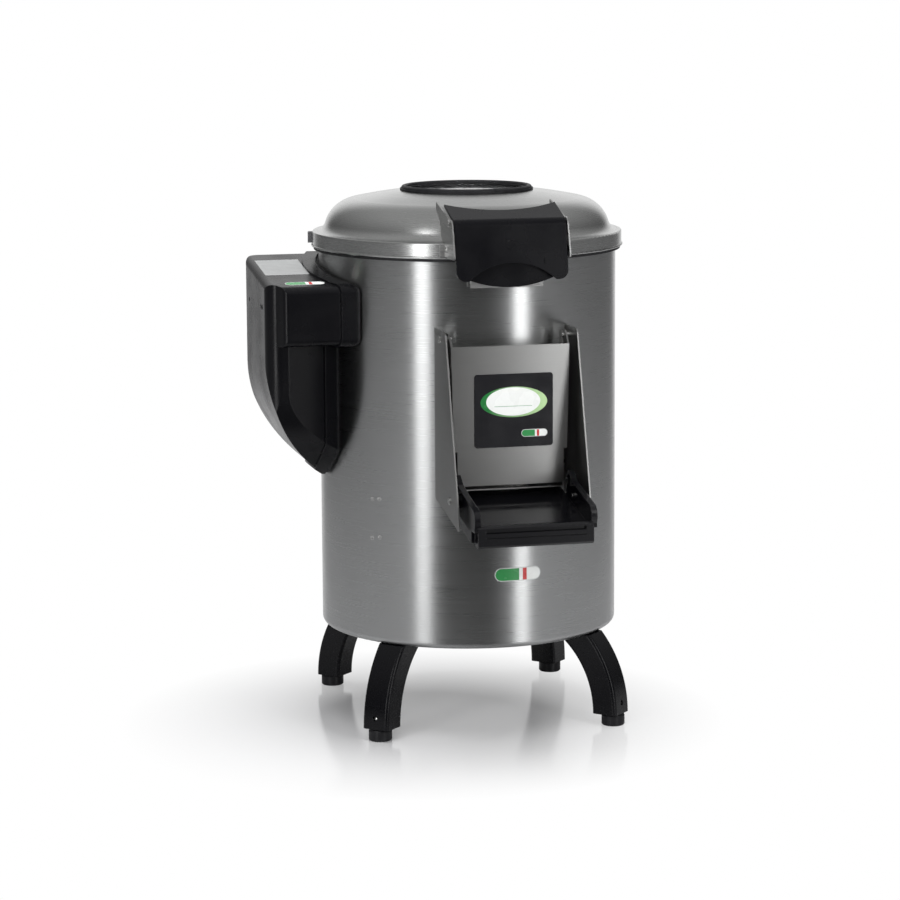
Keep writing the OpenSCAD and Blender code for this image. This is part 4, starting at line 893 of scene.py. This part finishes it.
@dataclass
class Machine(Assembly):
    """The tub with everything that is fixed to it, inside and out."""

    wear = {
        TUB_STEEL: ["tub_shell"],
        INNER_STEEL: ["base_ring", "floor_ledge", "chamber_floor", "peeling_drum", "discharge_throat"],
        ABRASIVE: ["abrasive_lining"],
        SPIGOT_STEEL: ["drain_spigot"],
        FITTING_BRASS: ["water_inlet"],
        SHEET_STEEL: ["strike_plate", "motor_mount", "hinge_base"],
        PLATE_STEEL: ["side_plates"],
        TURNED_STEEL: ["small_screws", "pivot_bolts", "leg_bolts", "hinge_pin", "shaft_bearings"],
        HOUSING_IRON: ["bearing_housing"],
        MOTOR_PAINT: ["motor_housing"],
        CAST_ALLOY: ["motor_end_caps"],
        BLACK_RUBBER: ["shaft_seal", "drive_belt", "motor_cable"],
        LEG_BLACK: ["leg_front_left", "leg_front_right", "leg_rear_left", "leg_rear_right"],
        FOOT_RUBBER: ["feet"],
    }

    leg_turns: tuple[float, ...] = (-135, -45, 45, 135)
    leg_screw_r: float = 235.4
    leg_screw_z: float = 30
    weld_marks: tuple[tuple[float, float], ...] = ((-52.7, 316), (-49.5, 317), (-53.1, 264), (-49.5, 266))
    sticker_azimuth: float = 5.2
    sticker_z: float = 221
    inlet_azimuth: float = -150
    inlet_z: float = 594
    thread_start_r: float = 210.4
    thread_root: float = 10.4
    thread_crest: float = 10.95
    thread_half: float = 0.8
    thread_sunk: float = 0.4
    thread_pitch: float = 1.81
    thread_turns: int = 9
    hinge_screw_x: float = 38
    hinge_screw_z: tuple[float, float] = (570, 608)
    hinge_plate_r: float = 203
    hinge_screw_r: float = 202.6

    def build(self) -> None:
        """Adds the small pieces on the tub and its legs."""
        self.leg_screws()
        self.spot_welds()
        sticker = Pill("tub_sticker", 64 * MM, 18 * MM, 1.1 * MM)
        place = facing(*around(self.sticker_azimuth, TUB_R / MM, self.sticker_z))
        sticker.build(place, "machine", TUB_R)
        self.inlet_thread()
        self.hinge_screws()

    def leg_screws(self) -> None:
        """Puts a domed screw into the hole at the foot of each leg."""
        mesh = bmesh.new()
        for azimuth in self.leg_turns:
            turned(mesh, PAN_HEAD, facing(*around(azimuth, self.leg_screw_r, self.leg_screw_z)))
        piece("leg_screws", mesh, [TURNED_STEEL], "machine")

    def spot_welds(self) -> None:
        """Marks the places where a bracket inside is welded to the tub's wall."""
        mesh = bmesh.new()
        dome = ((0, 0.05), (1.6, 0.08), (2.3, 0.28), (3.0, 0.2), (3.5, -0.1), (0, -0.1))
        for azimuth, height in self.weld_marks:
            turned(mesh, dome, facing(*around(azimuth, TUB_R / MM, height)))
        piece("spot_welds", mesh, [SHEET_STEEL], "machine")

    def inlet_thread(self) -> None:
        """Winds a thread around the water inlet's tail."""
        mesh = bmesh.new()
        steps = 36
        root, half = self.thread_root, self.thread_half
        ridge = ((root, -half), (self.thread_crest, 0), (root, half), (root - self.thread_sunk, 0))
        outline = [mesh.verts.new(plain(radius, 0, height)) for radius, height in ridge]
        lines = [mesh.edges.new(pair) for pair in zip(outline, outline[1:] + outline[:1])]
        bmesh.ops.contextual_create(mesh, geom=lines)
        bmesh.ops.spin(
            mesh,
            geom=outline + lines,
            cent=(0, 0, 0),
            axis=UP,
            dvec=UP * self.thread_pitch * MM / steps,
            angle=self.thread_turns * math.tau,
            steps=self.thread_turns * steps,
        )
        bmesh.ops.holes_fill(mesh, edges=[e for e in mesh.edges if e.is_boundary], sides=4)
        place = facing(*around(self.inlet_azimuth, self.thread_start_r, self.inlet_z))
        bmesh.ops.transform(mesh, matrix=place, verts=mesh.verts[:])
        piece("inlet_thread", mesh, [FITTING_BRASS], "machine")

    def hinge_screws(self) -> None:
        """Puts a screw into each hole of the lid hinge's base."""
        mesh = bmesh.new()
        turn = math.degrees(math.asin(self.hinge_screw_x / self.hinge_plate_r))
        for azimuth in (180 + turn, 180 - turn):
            for height in self.hinge_screw_z:
                turned(mesh, PAN_HEAD, facing(*around(azimuth, self.hinge_screw_r, height)))
        piece("hinge_screws", mesh, [TURNED_STEEL], "machine")


@dataclass
class ControlBox(Assembly):
    """The control box with its panel, knob and buttons on the rear face."""

    wear = {
        BOX_PLASTIC: ["box_base", "box_cover", "cable_gland"],
        BLACK_RUBBER: ["box_gasket"],
        PANEL_GREY: ["control_panel"],
        SWITCH_IVORY: ["switchgear"],
        KNOB_BLACK: ["timer_knob"],
        BUTTON_GREEN: ["start_button"],
        BUTTON_RED: ["stop_button"],
    }

    slope: float = 7.6
    top_z: float = 608.7
    label_gap: float = 0.3
    label_at: tuple[float, float] = (-251.5, 12)
    label_size: tuple[float, float] = (59, 86)
    rule_half: float = 25
    rule_thick: float = 0.6
    first_rule: int = -34
    last_rule: int = 14
    rule_step: int = 8
    sticker_at: tuple[float, float] = (-238, -80)
    panel_x: float = -239
    panel_y: float = 89.6
    bar_y: float = 89.7
    knob_z: float = 575
    start_z: float = 527
    stop_z: float = 493
    dial_r: float = 19
    mark_offset: float = 19
    knob_line_at: Place = (-239, 108.05, 583.5)
    well_at: Place = (-290, -50.4, 565.6)
    ink: float = 0.3

    def build(self) -> None:
        """Adds the labels, the dial and the marks."""
        back = Matrix.Rotation(math.radians(self.slope), 3, "X") @ REAR
        up = Matrix.Rotation(math.radians(self.slope), 3, "X") @ UP
        self.rating_label(facing(self.on_top(*self.label_at), up, back))
        sticker = Pill("box_sticker", 53 * MM, 15 * MM, 0.9 * MM)
        sticker.build(facing(self.on_top(*self.sticker_at), up, back), "machine")
        self.dial()
        self.marks()
        self.knob_line()
        self.screw_well()

    def on_top(self, x: float, y: float) -> Vector:
        """A place just above the sloping top of the box, from its X and Y in millimetres."""
        return plain(x, y, self.top_z + y * math.tan(math.radians(self.slope)) + self.label_gap)

    def rating_label(self, place: Matrix) -> None:
        """Lays a bare silver label with ruled lines on the box.

        Args:
            place: carries its back from the XY plane to its place.
        """
        mesh = bmesh.new()
        length, width = (size * MM for size in self.label_size)
        spread = Matrix.Diagonal((length, width, 1, 1))
        bmesh.ops.create_grid(mesh, x_segments=1, y_segments=1, size=0.5, matrix=spread)
        rules = range(self.first_rule, self.last_rule + 1, self.rule_step)
        for rule in rules:
            for side in (-0.5, 0.5):
                self.split(mesh, plain(0, rule + side * self.rule_thick, 0), REAR)
        for end in (-self.rule_half, self.rule_half):
            self.split(mesh, plain(end, 0, 0), Vector((1, 0, 0)))
        for face in mesh.faces:
            middle = face.calc_center_median() / MM
            ruled = any(abs(middle.y - rule) < self.rule_thick / 2 for rule in rules)
            face.material_index = int(ruled and abs(middle.x) < self.rule_half)
        bmesh.ops.solidify(mesh, geom=mesh.faces[:], thickness=0.2 * MM)
        level(mesh.verts)
        bmesh.ops.transform(mesh, matrix=place, verts=mesh.verts[:])
        piece("rating_label", mesh, [LABEL_SILVER, LABEL_INK], "machine")

    def split(self, mesh: bmesh.types.BMesh, at: Vector, across: Vector) -> None:
        """Cuts a flat mesh along the line through a point, square to a direction."""
        geom = mesh.verts[:] + mesh.edges[:] + mesh.faces[:]
        bmesh.ops.bisect_plane(mesh, geom=geom, dist=1e-7, plane_co=at, plane_no=across)

    def bar(self, mesh: bmesh.types.BMesh, width: float, length: float, at: Vector, along: Vector) -> None:
        """Adds a printed bar that faces the rear.

        Args:
            mesh: what it is added to.
            width: its width, in millimetres.
            length: its length, in millimetres.
            at: its middle, in metres.
            along: the direction of its length.
        """
        block(mesh, plain(width, length, self.ink), facing(at, REAR, along), 0.08 * MM)

    def dial(self) -> None:
        """Prints the dial's ticks around the timer knob."""
        mesh = bmesh.new()
        middle = plain(self.panel_x, self.bar_y, self.knob_z)
        for i, turn in enumerate(range(240, -90, -30)):
            out = Vector((-math.cos(math.radians(turn)), 0, math.sin(math.radians(turn))))
            length = 2.4 if i % 2 else 3.6
            self.bar(mesh, 0.8, length, middle + out * (self.dial_r + length / 2) * MM, out)
        piece("dial_ticks", mesh, [PRINT_WHITE], "machine")

    def marks(self) -> None:
        """Prints a bar beside the start button and a ring beside the stop button."""
        mesh = bmesh.new()
        x = self.panel_x + self.mark_offset
        self.bar(mesh, 1, 6, plain(x, self.bar_y, self.start_z), UP)
        ring = ((2.3, 0), (2.3, 0.25), (3.2, 0.25), (3.2, 0), (2.3, 0))
        turned(mesh, ring, facing(plain(x, self.panel_y, self.stop_z), REAR))
        piece("button_marks", mesh, [PRINT_WHITE], "machine")

    def knob_line(self) -> None:
        """Lays a white line on the knob's grip."""
        mesh = bmesh.new()
        self.bar(mesh, 1, 11, plain(*self.knob_line_at), UP)
        piece("knob_line", mesh, [PRINT_WHITE], "timer_knob")

    def screw_well(self) -> None:
        """Rings the small screw on the box's outer side."""
        mesh = bmesh.new()
        outline = ((0, 0.1), (1.7, 0.1), (2.0, 0.6), (3.0, 0.6), (3.6, -0.2), (0, -0.2))
        turned(mesh, outline, facing(plain(*self.well_at), Vector((-1, 0, 0))))
        piece("box_screw_well", mesh, [KNOB_BLACK], "machine")


@dataclass
class Lid(Assembly):
    """The hinged lid with its window and the handle hood."""

    wear = {
        LID_STEEL: ["lid_shell"],
        BLACK_RUBBER: ["lid_gasket", "window_ring"],
        CLEAR_PANE: ["lid_window"],
        SHEET_STEEL: ["handle_brackets", "hinge_arm", "latch_tongue"],
        TURNED_STEEL: ["handle_pin"],
        PANEL_GREY: ["lid_magnet"],
        HANDLE_PLASTIC: ["handle_hood"],
    }

    bolt_at: Place = (77, -204, 650)
    joint_azimuth: float = 12.5
    joint_r: float = 84.5
    joint_z: float = 713
    hood_lean: float = 10.6
    ring_at: Place = (-0.7, -237.0, 657.6)
    boss_places: tuple[Place, ...] = ((-41.2, -241.3, 634.9), (43.0, -241.0, 636.3))
    boss_size: Place = (2.6, 7.5, 1.4)

    def build(self) -> None:
        """Adds the small pieces of the lid and the hood."""
        self.bracket_bolts()
        self.ring_joint()
        self.hood_marks()

    def bracket_bolts(self) -> None:
        """Puts a domed bolt head on the outer side of each bracket."""
        mesh = bmesh.new()
        dome = ((0, 2.4), (1.5, 2.2), (2.9, 1.3), (3.4, 0.5), (3.5, -0.3), (0, -0.3))
        x, y, z = self.bolt_at
        for side in (-1, 1):
            turned(mesh, dome, facing(plain(side * x, y, z), Vector((side, 0, 0))))
        piece("bracket_bolts", mesh, [TURNED_STEEL], "lid")

    def ring_joint(self) -> None:
        """Wraps the joint of the window's ring in a short sleeve."""
        mesh = bmesh.new()
        outline = ((3.15, -1.5), (3.55, -1.2), (3.55, 1.2), (3.15, 1.5), (3.15, -1.5))
        middle, out = around(self.joint_azimuth, self.joint_r, self.joint_z)
        turned(mesh, outline, facing(middle, UP.cross(out)), 24)
        piece("ring_joint", mesh, [FOOT_RUBBER], "lid")

    def hood_marks(self) -> None:
        """Moulds a plain ring and two small bosses on the hood's front."""
        lean = math.radians(self.hood_lean)
        out = Vector((0, -math.cos(lean), math.sin(lean)))
        mesh = bmesh.new()
        ring = ((4.6, -0.2), (4.8, 0.35), (5.6, 0.5), (6.2, 0.3), (6.4, -0.2), (4.6, -0.2))
        turned(mesh, ring, facing(plain(*self.ring_at), out))
        for place in self.boss_places:
            block(mesh, plain(*self.boss_size), facing(plain(*place), out), 0.6 * MM)
        piece("hood_marks", mesh, [HANDLE_PLASTIC], "handle")


@dataclass
class Discharge(Assembly):
    """The door over the discharge mouth and the tray below it."""

    wear = {
        DOOR_STEEL: ["door_plate"],
        INNER_STEEL: ["door_box"],
        BLACK_RUBBER: ["door_seal"],
        BADGE_BLACK: ["door_badge"],
        TRAY_PLASTIC: ["discharge_tray"],
    }

    badge_y: float = -232.2
    oval_at: tuple[float, float] = (4, 454)
    oval_half: tuple[float, float] = (44.3, 19.8)
    oval_thick: float = 0.2
    inner_at: tuple[float, float] = (3.2, 454.5)
    inner_share: tuple[float, float] = (0.81, 0.93)
    inner_thick: float = 0.12
    line_drop: float = 6
    line_size: Place = (50, 0.5, 0.2)
    sticker_at: tuple[float, float] = (31.2, 412.8)

    def build(self) -> None:
        """Adds the badge's printed oval and the small sticker."""
        mesh = bmesh.new()
        half_x, half_z = (size * MM for size in self.oval_half)
        oval(mesh, half_x, half_z, self.oval_thick * MM, self.on_badge(*self.oval_at))
        share_x, share_z = self.inner_share
        inner = self.on_badge(*self.inner_at, self.oval_thick)
        oval(mesh, half_x * share_x, half_z * share_z, self.inner_thick * MM, inner, 1)
        x, z = self.inner_at
        line = self.on_badge(x, z - self.line_drop, self.oval_thick + self.inner_thick)
        block(mesh, plain(*self.line_size), line, 0.05 * MM, 2)
        piece("badge_oval", mesh, [OVAL_GREEN, PRINT_WHITE, PRINT_GREEN], "door")
        sticker = Pill("door_sticker", 34.8 * MM, 9.7 * MM, 0.7 * MM)
        sticker.build(self.on_badge(*self.sticker_at), "door")

    def on_badge(self, x: float, z: float, proud: float = 0) -> Matrix:
        """Carries a flat print onto the badge, or to a height above it in millimetres."""
        return facing(plain(x, self.badge_y - proud, z), FRONT)


@dataclass
class Drive(Assembly):
    """The turning disc with its shaft, and the motor's rotor."""

    wear = {
        CAST_ALLOY: ["cast_disc", "drive_pulley", "motor_pulley"],
        ABRASIVE: ["abrasive_disc"],
        TURNED_STEEL: ["disc_nut", "drive_shaft", "motor_shaft"],
    }


# ------------------------------------------------------------------ studio


@dataclass(frozen=True)
class Lamp:
    """A soft box that points at the tub's axis. Its turn is in degrees from the front towards +X."""

    name: str
    turn: float
    distance: float
    height: float
    width: float
    tall: float
    watts: float
    aim: float = 0.4
    mirrored: bool = True

    def build(self) -> None:
        """Adds the lamp."""
        data = bpy.data.lights.new(self.name, "AREA")
        data.shape = "RECTANGLE"
        data.size, data.size_y = self.width, self.tall
        data.energy = self.watts
        lamp = linked(self.name, data)
        _, out = around(self.turn, 0, 0)
        lamp.location = out * self.distance + UP * self.height
        lamp.rotation_mode = "QUATERNION"
        lamp.rotation_quaternion = (UP * self.aim - lamp.location).to_track_quat("-Z", "Y")
        lamp.visible_glossy = self.mirrored


@dataclass
class Studio:
    """Plain floor, soft lights, white surroundings, and the camera with its lens in millimetres."""

    lamps: tuple[Lamp, ...] = (
        Lamp("left_box", -47, 2.6, 0.9, 0.50, 2.4, 15.5, 0.5),
        Lamp("right_box", 26.5, 2.6, 0.9, 0.50, 2.4, 16.5, 0.5),
        Lamp("top_box", -14, 0.3, 2.4, 1.6, 1.6, 44, 0.4, False),
        Lamp("front_fill", -14, 3.4, 1.6, 2.4, 1.6, 45, 0.4, False),
    )
    behind: Place = (0.234, 0.972, 0.0)
    room: float = 0.08
    ceiling: float = 0.55
    floor_size: float = 30
    pool: float = 0.14
    pool_middle: Place = (-0.08, -0.06, 0.0)
    spread: float = 0.27
    flag: float = 0.10
    lens: float = 120.59
    camera_at: Place = (-0.9717, -3.9370, 1.0228)
    camera_right: Place = (0.9721, -0.2347, -0.0056)
    camera_up: Place = (0.0436, 0.1567, 0.9867)
    camera_ahead: Place = (0.2307, 0.9594, -0.1626)
    sight: float = 60

    def build(self) -> None:
        """Makes the floor, the lights, the surroundings and the camera."""
        self.floor()
        self.surroundings()
        for lamp in self.lamps:
            lamp.build()
        self.camera()

    def seen(self, s: Shading, patch: Socket) -> Socket:
        """How much of the white background a ray sees.

        Args:
            s: the node tree that it is added to.
            patch: 1 straight behind the machine, fading to 0 towards its sides.

        Returns:
            1 for the camera's own rays and those through the window, and the patch for mirrored rays, so
            that metal and glass show the background without losing the dark room that shapes them.
        """
        path = s.add("ShaderNodeLightPath")
        mirrored = s.maths("MULTIPLY", path.outputs["Is Glossy Ray"], patch)
        through = s.maths("MAXIMUM", path.outputs["Is Camera Ray"], path.outputs["Is Transmission Ray"])
        return s.maths("MAXIMUM", through, mirrored)

    def towards_back(self, s: Shading, low: float, high: float) -> Socket:
        """How far a direction or a place turns towards the background straight behind the machine.

        Args:
            s: the node tree that it is added to, for its own coordinates.
            low: cosine of the angle at which it starts.
            high: cosine of the angle at which it is full.

        Returns:
            A value between 0 and 1.
        """
        level_way = s.vector("NORMALIZE", s.vector("MULTIPLY", s.coords, (1, 1, 0)))
        return s.span(s.vector("DOT_PRODUCT", level_way, self.behind), 0.0, 1.0, low, high)

    def floor(self) -> None:
        """Lays a wide floor that holds the machine's shadow and fades to the white background."""
        mesh = bmesh.new()
        bmesh.ops.create_grid(mesh, x_segments=1, y_segments=1, size=self.floor_size)
        data = bpy.data.meshes.new("floor")
        mesh.to_mesh(data)
        mesh.free()
        floor = linked("floor", data)
        s = Shading("floor")
        s.set(
            Base_Color=s.blend(s.noise(2.0), (0.69, 0.69, 0.70), (0.71, 0.71, 0.72)),
            Roughness=s.span(s.noise(0.6), 0.12, 0.15),
            Specular_IOR_Level=0.3,
        )
        # In mirrored rays the floor in front of the machine is a dark flag, which shapes its gloss
        away = s.vector("DISTANCE", s.coords, self.pool_middle)
        far = s.span(away, 0.0, 1.0, self.pool, self.pool + self.spread)
        flag = s.add("ShaderNodeEmission")
        flag.inputs["Strength"].default_value = self.flag
        front = s.maths("MULTIPLY", self.towards_back(s, -0.80, -0.97), far)
        mirrored = s.add("ShaderNodeLightPath").outputs["Is Glossy Ray"]
        flagged = s.mixed(s.maths("MULTIPLY", front, mirrored), s.surface, flag)
        white = s.add("ShaderNodeEmission")
        shown = s.maths("MULTIPLY", far, self.seen(s, self.towards_back(s, 0.90, 0.98)))
        mixed = s.mixed(shown, flagged, white)
        s.feed(s.tree.nodes["Material Output"].inputs["Surface"], mixed.outputs["Shader"])
        data.materials.append(s.material)

    def surroundings(self) -> None:
        """Sets the world: a white background in a dim room with a paler ceiling."""
        world = bpy.data.worlds.new("studio")
        bpy.context.scene.world = world
        world.use_nodes = True
        s = Shading.of_world(world)
        height = s.axis("Z", s.coords)
        room = s.add("ShaderNodeBackground")
        s.feed(room.inputs["Strength"], s.span(height, self.room, self.ceiling, 0.0, 0.8))
        white = s.add("ShaderNodeBackground")
        s.feed(white.inputs["Color"], (1, 1, 1, 1))
        low = s.span(height, 1.0, 0.0, 0.25, 0.8)
        patch = s.maths("MULTIPLY", self.towards_back(s, 0.85, 0.97), low)
        mixed = s.mixed(self.seen(s, patch), room, white)
        s.feed(s.tree.nodes["World Output"].inputs["Surface"], mixed.outputs["Shader"])

    def camera(self) -> None:
        """Sets up the camera."""
        data = bpy.data.cameras.new("camera")
        data.lens = self.lens
        data.clip_end = self.sight
        camera = linked("camera", data)
        sides = (self.camera_right, self.camera_up, -Vector(self.camera_ahead))
        turn = Matrix(sides).transposed().to_4x4()
        camera.matrix_world = Matrix.Translation(self.camera_at) @ turn
        bpy.context.scene.camera = camera


def main() -> None:
    """Loads the frame, dresses it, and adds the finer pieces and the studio."""
    logging.basicConfig(level=logging.INFO, format="%(name)s %(message)s")
    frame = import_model()
    nodes = frame["nodes"]
    bpy.context.scene.view_settings.view_transform = "Standard"
    Studio().build()
    Drive(nodes).dress()
    for part in (Machine(nodes), ControlBox(nodes), Lid(nodes), Discharge(nodes)):
        part.dress()
        part.build()


if __name__ == "__main__":
    main()
